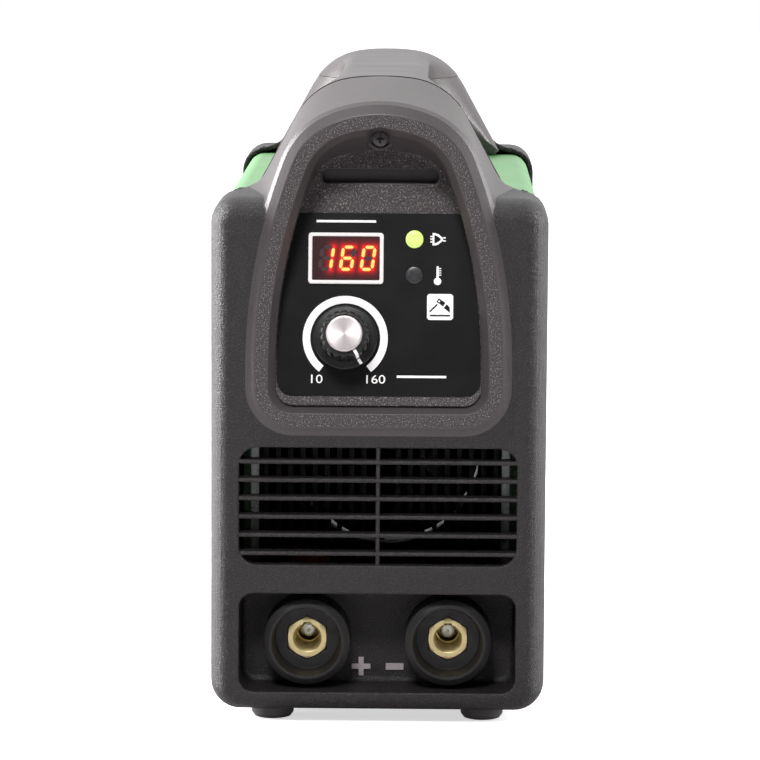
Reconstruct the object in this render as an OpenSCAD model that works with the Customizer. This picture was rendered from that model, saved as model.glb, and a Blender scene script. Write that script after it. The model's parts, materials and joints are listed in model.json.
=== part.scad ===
// Stick welding inverter: a carrying-handle welding power source in two moulded end
// housings joined by a sheet-metal cover. Millimetres, X to the right when facing the
// front, Y towards the back, Z up, origin on the floor under the middle of the machine.

/* [Shell] */
// Width over the moulded housings
body_w = 130; // [126:1:134]
// Height from the floor to the top of the handle
body_h = 250; // [247:1:254]
// Length over the rims of the two moulded housings
shell_l = 313; // [310:1:330]
// Length of each moulded housing, from its rim to its seam
housing_l = 45; // [43:1:47]
// Height of the rubber feet
foot_h = 4.6; // [4:0.2:5]
// Height of the flat shoulders beside the handle
shoulder_z = 205; // [204:0.2:208]
// Wall thickness of the mouldings
wall = 2.2; // [2:0.1:2.4]
// Step from the housing's skin down to the sheet-metal cover
cover_step = 2.5; // [2.5:0.1:2.8]

/* [Control arch] */
// Height of the arch's lower edge
arch_base_z = 117.1; // [116:0.1:118]
// Height of the arch's crown
arch_top_z = 237.3; // [236.5:0.1:238]
// Width of the flat rim
rim_w = 5.3; // [5:0.1:5.6]
// How far the rim stands proud of the face
rim_proud = 2.5; // [2:0.1:3]
// Inset of the well's side walls from the rim's outer edge
well_inset = 9.2; // [9:0.1:9.6]
// Backward tilt of the control panel, in degrees
panel_tilt = 12.5; // [11:0.5:13.5]
// Depth of the panel behind the rim at the label's lower edge
panel_depth = 4; // [3.6:0.1:4.4]

/* [Openings] */
// Half width of the louvre opening
louvre_half_w = 53.6; // [52:0.2:54.2]
// Lower edge of the louvre opening
louvre_z0 = 62.9; // [62:0.1:64]
// Upper edge of the louvre opening
louvre_z1 = 108.7; // [108:0.1:109.5]
// Number of louvre slats
slat_count = 6; // [5:1:7]
// Half width of the socket bay
bay_half_w = 53.5; // [52:0.2:54]
// Lower edge of the socket bay
bay_z0 = 12.8; // [12.4:0.1:13.2]
// Upper edge of the socket bay
bay_z1 = 51.5; // [51:0.1:53]
// Depth of the socket bay
bay_depth = 22; // [21:0.5:23]
// Width of the shoulder-strap slots
strap_slot_w = 45; // [42:1:46]
// Height of the shoulder-strap slots
strap_slot_h = 5.1; // [4.8:0.1:5.4]

/* [Output sockets] */
// Distance of each socket from the middle plane
socket_x = 27.5; // [26:0.5:28.5]
// Height of the socket axes
socket_z = 31.5; // [31.2:0.1:32]
// Radius of the contact bore that takes the cable plug's pin
socket_bore_r = 4.6; // [4.5:0.05:4.7]
// Width across the flats of the brass contact
contact_af = 15; // [14.6:0.1:15.2]

/* [Controls] */
// Sideways place of the current knob
knob_x = -13; // [-13.5:0.5:-12]
// Height at which the knob's axis meets the panel
knob_z = 150.6; // [149:0.2:152]
// Height of the knob above the panel
knob_h = 19; // [18:0.5:20]
// Turn of the knob's pointer from the top of the dial at rest, clockwise
knob_rest = 148; // [140:1:148]
// Tilt of the mains rocker to each side of its middle position
rocker_tilt = 10; // [8:0.5:10]

/* [Cooling and power] */
// Side of the square fan frame
fan_size = 92; // [90:1:92]
// Height of the fan's axis
fan_z = 66; // [65:0.5:68]
// Thickness of the fan
fan_t = 25; // [24:0.5:25]
// Height of the power board's underside
board_z = 112; // [112:0.5:113]

/* [Hidden] */
eps = 0.05;
gap = 0.3;
half_w = body_w / 2;
front_y = -shell_l / 2;
face_y = front_y + rim_proud;
seam_y = front_y + housing_l;
skin = 2.4;

// Outline of the machine seen from the front: crown, haunch, slant, fillet, shoulder
crown_r = 90;
haunch_r = 28;
haunch_a = 82;
slant_a = 28.5;
fillet_r = 14;
shoulder_r = 10;
face_round = 6.5;
corner_r = 11.5;
crown_z = body_h - crown_r;
haunch_x = (crown_r - haunch_r) * cos(haunch_a);
haunch_z = crown_z + (crown_r - haunch_r) * sin(haunch_a);
slant_reach = haunch_x * cos(slant_a) + haunch_z * sin(slant_a) + haunch_r;
fillet_z = shoulder_z + fillet_r;
fillet_x = (slant_reach + fillet_r - fillet_z * sin(slant_a)) / cos(slant_a);
hood_base_z = shoulder_z - 6.6;

// Outline of the control arch, the same way
rim_crown_r = 48;
rim_haunch_r = 27;
rim_haunch_a = 68;
rim_side_r = 220;
rim_side_a = 21;
rim_corner_r = 15;
rim_crown_z = arch_top_z - rim_crown_r;
rim_haunch_x = (rim_crown_r - rim_haunch_r) * cos(rim_haunch_a);
rim_haunch_z = rim_crown_z + (rim_crown_r - rim_haunch_r) * sin(rim_haunch_a);
rim_side_x = rim_haunch_x - (rim_side_r - rim_haunch_r) * cos(rim_side_a);
rim_side_z = rim_haunch_z - (rim_side_r - rim_haunch_r) * sin(rim_side_a);
rim_half_w = rim_side_x + rim_side_r;

// The panel overlay, and what stands on it
label_z0 = 128.8;
label_z1 = 198;
label_t = 0.4;
display_x = -13;
display_z = 180.8;
lamp_x = 13.4;
power_lamp_z = 188.3;
heat_lamp_z = 174.7;
lamp_r = 3.4;
slot_z = 212.15;
panel_screw_z = 228;
screw_boss_r = 5.5;
screw_face_y = -140;
rear_screw_face_y = -147;
boss_end_y = seam_y - 7.5;

// Knob
skirt_r = 12.3;
skirt_h = 3;
grip_r = 9.5;
knob_cap_r = 7;
knob_lift = 0.6;
cap_h = 1.5;
cap_edge = 0.5;
shaft_r = 3;
flute_count = 18;
knob_reach = -(panel_y(knob_z) - knob_h * cos(panel_tilt) - (knob_cap_r - cap_edge) * sin(panel_tilt));

// Rear panel: a straight-walled arch with the switch, the gland and the earth screw
rear_panel_y = 144;
switch_x = -17;
switch_z = 172;
gland_x = 19;
gland_z = 168;
cable_r = 5;
gland_bore_r = 7.5;
earth_z = 141;

// Socket bay and sockets, along Y
bay_back_y = face_y + bay_depth;
flange_y = face_y + 5;
contact_y = face_y + 14.5;
bore_step_y = face_y + 30;
bolt_tip_y = bore_step_y + 0.5;
contact_end_y = face_y + 53;
socket_end_y = face_y + 48;
flange_r = 17;
socket_r = 13.8;

// Fan
fan_y1 = -face_y - skin - 0.2;
fan_y0 = fan_y1 - fan_t;
fan_bore_r = 43;
fan_hole_pitch = 82.5;
hub_r = 19;

// Handle
grip_w = 36;
grip_z0 = 228.8;
grip_z1 = 249;
grip_y = 72;
handle_split_z = 238;

function arc(cx, cz, r, a0, a1, n) =
  [for (i = [0:n]) let (a = a0 + (a1 - a0) * i / n) [cx + r * cos(a), cz + r * sin(a)]];

// A right-hand half outline, from the bottom to the top, closed with its mirror image
function mirrored(half) =
  concat(half, [for (i = [len(half) - 1:-1:0]) [-half[i][0], half[i][1]]]);

// The case below the shoulders, inset by d
function case_outline(d) = mirrored(concat(
  arc(half_w - corner_r, foot_h + corner_r, corner_r - d, -90, 0, 8),
  arc(half_w - shoulder_r, shoulder_z - shoulder_r, shoulder_r - d, 0, 90, 6)));

// The crown above the shoulders, inset by d: convex, without the fillets
function crown_outline(d, z0) = mirrored(concat(
  [[(slant_reach - d - z0 * sin(slant_a)) / cos(slant_a), z0]],
  arc(haunch_x, haunch_z, haunch_r - d, slant_a, haunch_a, 8),
  arc(0, crown_z, crown_r - d, haunch_a, 90, 3)));

// The fillet between a shoulder and the crown
function fillet_outline() = concat(
  [[fillet_x, hood_base_z]],
  arc(fillet_x, fillet_z, fillet_r, 270, 180 + slant_a, 8),
  [[haunch_x + haunch_r, hood_base_z]]);

// The control arch, grown by e
function arch_outline(e) = mirrored(concat(
  arc(rim_half_w - rim_corner_r, arch_base_z + rim_corner_r, rim_corner_r + e, -90, 0, 6),
  arc(rim_side_x, rim_side_z, rim_side_r + e, 0, rim_side_a, 8),
  arc(rim_haunch_x, rim_haunch_z, rim_haunch_r + e, rim_side_a, rim_haunch_a, 8),
  arc(0, rim_crown_z, rim_crown_r + e, rim_haunch_a, 90, 4)));

// Upper part of the arch, where the hood grows out of the rim
function arch_cap(e, z0) = concat(
  [[rim_side_x + sqrt(pow(rim_side_r + e, 2) - pow(z0 - rim_side_z, 2)), z0]],
  arc(rim_haunch_x, rim_haunch_z, rim_haunch_r + e, rim_side_a, rim_haunch_a, 8),
  arc(0, rim_crown_z, rim_crown_r + e, rim_haunch_a, 90, 4));

// A rectangle with rounded corners, by its edges
function round_box(x0, x1, z0, z1, r) = concat(
  arc(x1 - r, z0 + r, r, -90, 0, 6), arc(x1 - r, z1 - r, r, 0, 90, 6),
  arc(x0 + r, z1 - r, r, 90, 180, 6), arc(x0 + r, z0 + r, r, 180, 270, 6));

function panel_y(z) = front_y + panel_depth + (z - label_z0) * tan(panel_tilt);

// Extrudes a front-view outline from y0 back to y1
module along_y(y0, y1) {
  translate([0, y1, 0]) rotate([90, 0, 0]) linear_extrude(height = y1 - y0) children();
}

// Puts a shape that is built along +Z on a line parallel to Y, pointing to the front
module facing_front(x, y, z) {
  translate([x, y, z]) rotate([90, 0, 0]) children();
}

// The same, pointing to the back
module facing_back(x, y, z) {
  translate([x, y, z]) rotate([-90, 0, 0]) children();
}

// Puts a shape on the tilted panel: its +Z leaves the panel, its +Y runs up the panel
module on_panel(x, z) {
  translate([x, panel_y(z), z]) rotate([90 - panel_tilt, 0, 0]) children();
}

// The slice of space between two heights above the tilted panel
module panel_slab(h0, h1) {
  on_panel(0, 170) translate([-90, -90, h0]) cube([180, 180, h1 - h0]);
}

module tube(r_out, r_in, h) {
  difference() {
    cylinder(r = r_out, h = h, $fn = 64);
    translate([0, 0, -1]) cylinder(r = r_in, h = h + 2, $fn = 64);
  }
}

module hexagon(af, h) {
  rotate([0, 0, 30]) cylinder(r = af / sqrt(3), h = h, $fn = 6);
}

// A pan-head machine screw with its head on the plane z = 0, above the work
module pan_screw(head_r, head_h, shank_r, shank_l) {
  difference() {
    union() {
      cylinder(r1 = head_r, r2 = head_r * 0.8, h = head_h, $fn = 40);
      translate([0, 0, -shank_l]) cylinder(r = shank_r, h = shank_l + eps, $fn = 32);
    }
    for (a = [0, 90])
      rotate([0, 0, a]) translate([-head_r * 0.55, -head_r * 0.1, head_h * 0.4])
        cube([head_r * 1.1, head_r * 0.2, 9]);
  }
}

// Soft-edged case below the shoulders, with its front edges rounded
module case_block(d, y0) {
  hull() {
    along_y(y0, y0 + 0.2) polygon(case_outline(d + face_round));
    along_y(y0 + 3, y0 + 3.2) polygon(case_outline(d + 1.6));
    along_y(y0 + 9, seam_y) polygon(case_outline(d));
  }
}

// The hood that joins the arch's rim to the crown at the seam
module hood_block(d, y0) {
  hull() {
    along_y(y0, y0 + 0.2) polygon(mirrored(arch_cap(-d, hood_base_z)));
    along_y(seam_y - 0.4, seam_y) polygon(crown_outline(d, hood_base_z));
  }
}

// The fillet beside the hood, which climbs from the shoulder to its full height at the seam
module fillet_ramp() {
  climb = atan2(fillet_r * 0.6, housing_l - 16);
  intersection() {
    along_y(front_y + 9, seam_y) polygon(fillet_outline());
    translate([0, front_y + 9, shoulder_z]) rotate([climb, 0, 0])
      translate([0, -10, -60]) cube([90, 90, 60]);
  }
}

// What both end housings share: the case, the hood and the hollow behind them
module housing_shell() {
  difference() {
    union() {
      case_block(0, face_y);
      hood_block(0, front_y);
      for (side = [0, 1]) mirror([side, 0, 0]) fillet_ramp();
    }
    translate([0, eps, 0]) case_block(wall, face_y + skin);
    translate([0, eps, 0]) hood_block(wall, front_y + 5);
  }
}

// The wall of the arch's well, hollow between its inner and outer skins
module arch_collar(y1) {
  difference() {
    along_y(front_y, y1) polygon(arch_outline(0));
    along_y(front_y + 5, y1 + 1) difference() {
      polygon(arch_outline(-wall));
      polygon(arch_outline(-well_inset + wall));
    }
  }
}

module strap_slot(y0, y1) {
  along_y(y0, y1) polygon(round_box(-strap_slot_w / 2, strap_slot_w / 2,
    slot_z - strap_slot_h / 2, slot_z + strap_slot_h / 2, 2));
}

module screw_boss(y0) {
  facing_front(0, boss_end_y, panel_screw_z) cylinder(r = screw_boss_r, h = boss_end_y - y0, $fn = 48);
}

module screw_way(y0) {
  facing_front(0, boss_end_y + 1, panel_screw_z) cylinder(r = 2.2, h = boss_end_y + 2 - y0, $fn = 32);
  facing_front(0, y0 + 3, panel_screw_z) cylinder(r = 4.2, h = 20, $fn = 40);
}

module front_housing() color("#4a4646") {
  difference() {
    union() {
      housing_shell();
      intersection() {
        arch_collar(seam_y - 12);
        panel_slab(-skin, 60);
      }
      intersection() {
        along_y(front_y, seam_y) polygon(arch_outline(-well_inset + wall));
        panel_slab(-skin, 0);
      }
      screw_boss(screw_face_y);
      difference() {
        along_y(face_y + 1, bay_back_y + skin)
          polygon(round_box(-bay_half_w - wall, bay_half_w + wall, bay_z0 - wall, bay_z1 + wall, 7));
        along_y(face_y, bay_back_y)
          polygon(round_box(-bay_half_w, bay_half_w, bay_z0, bay_z1, 5.5));
      }
    }
    difference() {
      intersection() {
        along_y(front_y - 1, seam_y) polygon(arch_outline(-well_inset));
        panel_slab(0, 60);
      }
      screw_boss(screw_face_y);
    }
    along_y(front_y - 1, front_y + 2) polygon(arch_outline(-rim_w));
    along_y(face_y - 5, bay_back_y)
      polygon(round_box(-bay_half_w, bay_half_w, bay_z0, bay_z1, 5.5));
    along_y(face_y - 5, face_y + 8)
      polygon(round_box(-louvre_half_w, louvre_half_w, louvre_z0, louvre_z1, 7));
    strap_slot(front_y, seam_y);
    screw_way(screw_face_y);
    on_panel(knob_x, knob_z) translate([0, 0, -9]) cylinder(r = 4.8, h = 20, $fn = 40);
    for (z = [power_lamp_z, heat_lamp_z])
      on_panel(lamp_x, z) translate([0, 0, -9]) cylinder(r = lamp_r + 0.2, h = 20, $fn = 40);
    on_panel(display_x, display_z) translate([-12.6, -7.6, -9]) cube([25.2, 15.2, 20]);
    for (side = [-1, 1]) {
      facing_front(side * socket_x, bay_back_y + 9, socket_z) cylinder(r = socket_r + gap, h = 20, $fn = 64);
      translate([side * foot_x, -foot_y, 0]) cylinder(r = 3.1, h = 10, $fn = 32);
    }
  }
}

module louvre_insert() color("#3c3939") {
  pitch = (louvre_z1 - louvre_z0) / (slat_count + 0.4);
  back_y = face_y + skin + 0.2;
  slat_half_w = louvre_half_w - 0.8;
  along_y(back_y, back_y + 2) difference() {
    polygon(round_box(-louvre_half_w - 3, louvre_half_w + 3, louvre_z0 - 3, louvre_z1 + 3, 9));
    polygon(round_box(-louvre_half_w, louvre_half_w, louvre_z0, louvre_z1, 7));
  }
  for (i = [0:slat_count - 1])
    translate([-louvre_half_w - 1, back_y, louvre_z0 + pitch * (i + 0.62)])
      cube([2 * louvre_half_w + 2, 7, 1.6]);
  for (i = [0:slat_count - 1])
    translate([-slat_half_w, face_y + 0.3, louvre_z0 + pitch * (i + 0.62)]) cube([2 * slat_half_w, 4, 1.6]);
  translate([-0.8, back_y, louvre_z0 - 1]) cube([1.6, 5, louvre_z1 - louvre_z0 + 2]);
  translate([-0.8, face_y + 0.5, louvre_z0 + gap]) cube([1.6, 4, louvre_z1 - louvre_z0 - 2 * gap]);
}

module rear_housing() color("#4a4646") {
  difference() {
    union() {
      mirror([0, 1, 0]) housing_shell();
      mirror([0, 1, 0]) arch_collar(skin - rear_panel_y);
      along_y(rear_panel_y - skin, rear_panel_y) polygon(arch_outline(-well_inset + wall));
      mirror([0, 1, 0]) screw_boss(rear_screw_face_y);
    }
    difference() {
      along_y(rear_panel_y, 1 - front_y) polygon(arch_outline(-well_inset));
      mirror([0, 1, 0]) screw_boss(rear_screw_face_y);
    }
    along_y(-front_y - 2, 1 - front_y) polygon(arch_outline(-rim_w));
    mirror([0, 1, 0]) strap_slot(front_y, seam_y);
    mirror([0, 1, 0]) screw_way(rear_screw_face_y);
    facing_back(0, -face_y - 8, fan_z) cylinder(r = fan_bore_r, h = 20, $fn = 96);
    for (x = [-1, 1], z = [-1, 1])
      facing_back(x * fan_hole_pitch / 2, 140, fan_z + z * fan_hole_pitch / 2)
        cylinder(r = 2.2, h = 20, $fn = 32);
    along_y(130, 150) translate([switch_x - 11, switch_z - 15]) square([22, 30]);
    facing_back(gland_x, 130, gland_z) cylinder(r = 10.2, h = 20, $fn = 48);
    facing_back(0, 130, earth_z) cylinder(r = 3.2, h = 20, $fn = 32);
    for (side = [-1, 1])
      translate([side * foot_x, foot_y, 0]) cylinder(r = 3.1, h = 10, $fn = 32);
  }
}

cover_t = 1;
pan_split_z = foot_h + corner_r;
tuck = 2.2;
screw_rows = [-84, 0, 84];

module steel_cover() color("#a9dcab") {
  difference() {
    along_y(seam_y - tuck, tuck - seam_y) difference() {
      polygon(case_outline(cover_step));
      polygon(case_outline(cover_step + cover_t));
      translate([-90, -10]) square([180, pan_split_z + 10]);
    }
    for (y = screw_rows)
      translate([-90, y, cover_screw_z]) rotate([0, 90, 0]) cylinder(r = 2.2, h = 180, $fn = 32);
    for (x = [-14, 14], y = [-100, 100])
      translate([x, y, shoulder_z - 9]) cylinder(r = 2.4, h = 12, $fn = 32);
  }
}

cover_screw_z = 23;

module base_pan() color("#9aa0a0") {
  difference() {
    union() {
      along_y(seam_y - tuck, tuck - seam_y) difference() {
        polygon(case_outline(cover_step));
        polygon(case_outline(cover_step + 1.2));
        translate([-90, pan_split_z - gap]) square([180, 250]);
      }
      along_y(seam_y - tuck + 4, tuck - seam_y - 4) difference() {
        polygon(case_outline(cover_step + 1.15));
        polygon(case_outline(cover_step + 2.4));
        translate([-90, 30]) square([180, 250]);
        translate([-90, -20]) square([180, 31]);
      }
    }
    for (y = screw_rows)
      translate([-90, y, cover_screw_z]) rotate([0, 90, 0]) cylinder(r = 1.7, h = 180, $fn = 32);
  }
}

// Width of the handle at the waist, as a rounded bar section inset by d
module grip_section(y0, y1, d) {
  along_y(y0, y1) polygon(round_box(d - grip_w / 2, grip_w / 2 - d, grip_z0 + d, grip_z1 - d, 8));
}

// The whole handle before it is split into its two mouldings
module handle_block() {
  root_y = -seam_y - gap;
  grip_section(-grip_y, grip_y, 0);
  for (end = [0, 1]) mirror([0, end, 0]) {
    along_y(-root_y, 5 - root_y) polygon(crown_outline(0.4, shoulder_z - cover_step + gap));
    hull() {
      along_y(4 - root_y, 5 - root_y) polygon(crown_outline(2, shoulder_z - cover_step + gap));
      along_y(15 - root_y, 16 - root_y) polygon(round_box(-30, 30, 212, 249.2, 12));
    }
    hull() {
      along_y(15 - root_y, 16 - root_y) polygon(round_box(-30, 30, 212, 249.2, 12));
      grip_section(-grip_y - 1, -grip_y, 0);
    }
  }
}

module handle_upper() color("#8f8786") {
  intersection() {
    handle_block();
    translate([-90, -200, handle_split_z]) cube([180, 400, 40]);
  }
}

module handle_lower() color("#6f6968") {
  difference() {
    union() {
      intersection() {
        handle_block();
        translate([-90, -200, handle_split_z - 100 - gap]) cube([180, 400, 100]);
      }
      for (end = [0, 1]) mirror([0, end, 0])
        along_y(boss_end_y + 0.2, seam_y + gap + 1) intersection() {
          polygon(crown_outline(wall + 4, shoulder_z - cover_step + gap + 1));
          translate([-60, 0]) square([120, 234]);
        }
    }
    for (end = [0, 1]) mirror([0, end, 0])
      facing_front(0, seam_y + 12, panel_screw_z) cylinder(r = 2.05, h = 40, $fn = 32);
  }
}

foot_x = 41;
foot_y = 136.7;
foot_r = 8.25;

module rubber_feet() color("#2b2a2a") {
  for (x = [-foot_x, foot_x], y = [-foot_y, foot_y]) translate([x, y, 0]) {
    cylinder(r1 = foot_r - 1.2, r2 = foot_r, h = 1.5, $fn = 48);
    translate([0, 0, 1.5]) cylinder(r = foot_r, h = foot_h - 1.5, $fn = 48);
    cylinder(r = 3, h = foot_h + 4.4, $fn = 32);
  }
}

module panel_overlay() color("#141414") {
  difference() {
    intersection() {
      along_y(front_y - 5, seam_y) intersection() {
        polygon(arch_outline(-well_inset - 0.4));
        translate([-60, label_z0]) square([120, label_z1 - label_z0]);
      }
      panel_slab(0, label_t);
    }
    on_panel(knob_x, knob_z) translate([0, 0, -1]) cylinder(r = 4.8, h = 3, $fn = 40);
    for (z = [power_lamp_z, heat_lamp_z])
      on_panel(lamp_x, z) translate([0, 0, -1]) cylinder(r = lamp_r + 0.1, h = 3, $fn = 40);
    on_panel(display_x, display_z) translate([-12.6, -7.6, -1]) cube([25.2, 15.2, 3]);
  }
}

module display_surround() color("#e9e9e6") {
  on_panel(display_x, display_z) translate([0, 0, label_t]) linear_extrude(height = 1.3) difference() {
    polygon(round_box(-14.5, 14.5, -9.9, 9.9, 1.2));
    polygon(round_box(-13.1, 13.1, -8.6, 8.6, 0.6));
  }
}

module display_window() color("#5a0c08") {
  on_panel(display_x, display_z) translate([-13, -8.5, label_t]) cube([26, 17, 0.8]);
}

// A three-digit seven-segment module; the segments stand on its face
module display_module() color("#d8d4cc") {
  on_panel(display_x, display_z) translate([-12.4, -7.4, -9]) {
    cube([24.8, 14.8, 8.8]);
    for (x = [3, 12.4, 21.8], y = [2.5, 12.3])
      translate([x - 0.3, y - 0.3, -4]) cube([0.6, 0.6, 4.1]);
  }
}

module lamp(z) {
  on_panel(lamp_x, z) translate([0, 0, -6]) {
    cylinder(r = lamp_r, h = 6 + label_t, $fn = 40);
    translate([0, 0, 6 + label_t]) cylinder(r1 = lamp_r, r2 = lamp_r - 0.6, h = 0.4, $fn = 40);
  }
}

module power_lamp() color("#c8f070") {
  lamp(power_lamp_z);
}

module heat_lamp() color("#3b3b3d") {
  lamp(heat_lamp_z);
}

module knob_body() color("#1b1b1c") {
  on_panel(knob_x, knob_z) difference() {
    union() {
      translate([0, 0, knob_lift + label_t]) cylinder(r = skirt_r, h = skirt_h - knob_lift, $fn = 72);
      cylinder_h = knob_h - cap_h - skirt_h;
      translate([0, 0, skirt_h]) cylinder(r = grip_r, h = cylinder_h, $fn = 72);
    }
    for (i = [0:flute_count - 1])
      rotate([0, 0, 360 / flute_count * i]) translate([grip_r + 0.7, 0, skirt_h + 1.2])
        cylinder(r = 1.2, h = knob_h, $fn = 16);
    translate([0, 0, -1]) cylinder(r = 8.2, h = 5.6, $fn = 48);
    cylinder(r = shaft_r + eps, h = knob_h - 4, $fn = 32);
  }
}

module knob_cap() color("#c9cbcc") {
  on_panel(knob_x, knob_z) translate([0, 0, knob_h - cap_h + eps]) {
    cylinder(r = knob_cap_r, h = cap_h - cap_edge - eps, $fn = 64);
    translate([0, 0, cap_h - cap_edge - eps])
      cylinder(r1 = knob_cap_r, r2 = knob_cap_r - cap_edge, h = cap_edge, $fn = 64);
  }
}

// The white index line: across the knob's shoulder, then out along the skirt
module knob_pointer() color("#f2f2ef") {
  on_panel(knob_x, knob_z) rotate([0, 0, -knob_rest]) {
    translate([-0.6, knob_cap_r + 0.2, knob_h - cap_h + eps]) cube([1.2, grip_r - knob_cap_r - 0.9, 0.4]);
    translate([-0.6, grip_r + 0.2, skirt_h + label_t + eps]) cube([1.2, skirt_r - grip_r - 0.5, 0.4]);
  }
}

module pot_shaft() color("#b9bcbe") {
  on_panel(knob_x, knob_z) translate([0, 0, -10]) cylinder(r = shaft_r, h = 10 + knob_h - 4.5, $fn = 32);
}

module pot_body() color("#7f8486") {
  on_panel(knob_x, knob_z) difference() {
    union() {
      translate([0, 0, -12]) cylinder(r = 8.3, h = 9, $fn = 48);
      translate([0, 0, -3 - eps]) cylinder(r = 4.4, h = 6.4, $fn = 40);
      for (x = [-5, 0, 5]) translate([x - 0.6, -13, -11]) cube([1.2, 6, 0.8]);
    }
    translate([0, 0, -10.3]) cylinder(r = shaft_r + 0.06, h = 20, $fn = 32);
  }
}

module pot_nut() color("#c2c4c4") {
  on_panel(knob_x, knob_z) translate([0, 0, label_t]) difference() {
    union() {
      cylinder(r = 7, h = 0.6, $fn = 48);
      hexagon(11, 2.6);
    }
    translate([0, 0, -1]) cylinder(r = 4.45, h = 6, $fn = 40);
  }
}

module control_board() color("#2f6b3d") {
  on_panel(0, 165) translate([-30, -32, -16]) cube([60, 64, 1.6]);
}

module socket_body(side) {
  facing_front(side * socket_x, socket_end_y, socket_z) difference() {
    union() {
      cylinder(r = socket_r, h = socket_end_y - bay_back_y + eps, $fn = 72);
      translate([0, 0, socket_end_y - bay_back_y])
        cylinder(r = flange_r, h = bay_back_y - flange_y - 1.5, $fn = 96);
      translate([0, 0, socket_end_y - flange_y - 1.5]) cylinder(r1 = flange_r, r2 = 14.5, h = 1.5, $fn = 96);
    }
    translate([0, 0, socket_end_y - contact_y - 1]) cylinder(r1 = 12.2, r2 = 13.6, h = 20, $fn = 72);
    translate([0, 0, socket_end_y - contact_y - 14]) hexagon(contact_af + 0.3, 40);
    translate([0, 0, -1]) cylinder(r = 7.3, h = 60, $fn = 48);
  }
}

module socket_body_plus() color("#1f1f20") {
  socket_body(-1);
}

module socket_body_minus() color("#1f1f20") {
  socket_body(1);
}

// A brass contact: chamfered hexagon in front, round behind, with the plug's bore
module socket_contact(side) {
  facing_front(side * socket_x, contact_end_y, socket_z) difference() {
    union() {
      cylinder(r = 7.2, h = contact_end_y - contact_y - 12, $fn = 48);
      intersection() {
        translate([0, 0, contact_end_y - contact_y - 13.8]) hexagon(contact_af, 13.8);
        translate([0, 0, contact_end_y - contact_y - 20])
          cylinder(r1 = 19, r2 = contact_af / 2 + 0.1, h = 20, $fn = 64);
      }
    }
    translate([0, 0, contact_end_y - bore_step_y]) cylinder(r = socket_bore_r, h = 60, $fn = 48);
    translate([0, 0, contact_end_y - bore_step_y - 8]) cylinder(r = socket_bore_r - 0.5, h = 9, $fn = 48);
    translate([0, 0, contact_end_y - contact_y - 1.2])
      cylinder(r1 = socket_bore_r, r2 = 5.8, h = 1.2 + eps, $fn = 48);
    translate([0, 0, -1]) cylinder(r = 3, h = 60, $fn = 32);
    translate([-1.6, 0, contact_end_y - contact_y - 10]) cube([3.2, 6.1, 20]);
  }
}

module socket_contact_plus() color("#c9a24a") {
  socket_contact(-1);
}

module socket_contact_minus() color("#c9a24a") {
  socket_contact(1);
}

module socket_ring_nuts() color("#1f1f20") {
  for (side = [-1, 1])
    facing_front(side * socket_x, bay_back_y + skin + 5.2, socket_z) tube(17.2, socket_r + 0.15, 5);
}

busbar_y0 = contact_end_y + 0.1;
busbar_t = 2.5;

module socket_bolts() color("#b8bcbd") {
  for (side = [-1, 1]) facing_front(side * socket_x, busbar_y0 + busbar_t + 4.1, socket_z) {
    hexagon(10, 4);
    translate([0, 0, 2]) cylinder(r = 2.9, h = busbar_y0 + busbar_t + 1.3 - bolt_tip_y, $fn = 32);
    translate([0, 0, busbar_y0 + busbar_t + 3.3 - bolt_tip_y])
      cylinder(r1 = 2.9, r2 = 2.2, h = 0.8, $fn = 32);
  }
}

// A copper strip: up behind the socket, then back towards the power board
module busbar(side, top_z, end_y) {
  difference() {
    union() {
      translate([side * socket_x - 7.5, busbar_y0, socket_z - 8]) cube([15, busbar_t, top_z - socket_z + 8]);
      translate([side * socket_x - 7.5, busbar_y0, top_z - busbar_t]) cube([15, end_y - busbar_y0, busbar_t]);
    }
    facing_front(side * socket_x, busbar_y0 + 9, socket_z) cylinder(r = 3.1, h = 20, $fn = 32);
  }
}

module busbar_plus() color("#b87333") {
  busbar(-1, 58, -40);
}

module busbar_minus() color("#b87333") {
  busbar(1, 46, -76);
}

module polarity_marks() color("#cfc4c6") {
  mark_z = 18.8;
  along_y(bay_back_y - 0.5, bay_back_y) {
    translate([-6.5, mark_z]) square([7.4, 2], center = true);
    translate([-6.5, mark_z]) square([2, 7.4], center = true);
    translate([6.7, mark_z]) square([7, 2.6], center = true);
  }
}

// A flat bar on two feet behind the slot, round which the shoulder strap is looped
module strap_bar(bar_y, foot_l) {
  bar_t = 2.6;
  bar_half_l = 28;
  foot_w = 4;
  z0 = slot_z - 6;
  z1 = slot_z + 3;
  translate([-bar_half_l, 0, 0]) rotate([90, 0, 90]) linear_extrude(height = 2 * bar_half_l)
    polygon(round_box(bar_y, bar_y + bar_t, z0, z1, 1.2));
  for (x = [-bar_half_l, bar_half_l - foot_w])
    translate([x, bar_y - foot_l, z0]) cube([foot_w, foot_l + bar_t / 2, z1 - z0]);
}

module strap_bars() color("#2a2a2b") {
  intersection() {
    strap_bar(panel_y(slot_z) + 5, 8.5);
    panel_slab(-30, -skin - eps);
  }
  mirror([0, 1, 0]) strap_bar(-rear_panel_y + 11, 11 - skin - eps);
}

module handle_screws() color("#1c1c1d") {
  facing_front(0, screw_face_y + 3, panel_screw_z) pan_screw(3.5, 2.4, 1.95, 30);
  facing_back(0, -rear_screw_face_y - 3, panel_screw_z) pan_screw(3.5, 2.4, 1.95, 37);
}

module cover_screws() color("#b8bcbd") {
  for (side = [0, 1], y = screw_rows) mirror([side, 0, 0])
    translate([half_w - cover_step + eps, y, cover_screw_z]) rotate([0, 90, 0]) pan_screw(3.6, 2.1, 1.6, 6);
}

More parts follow.
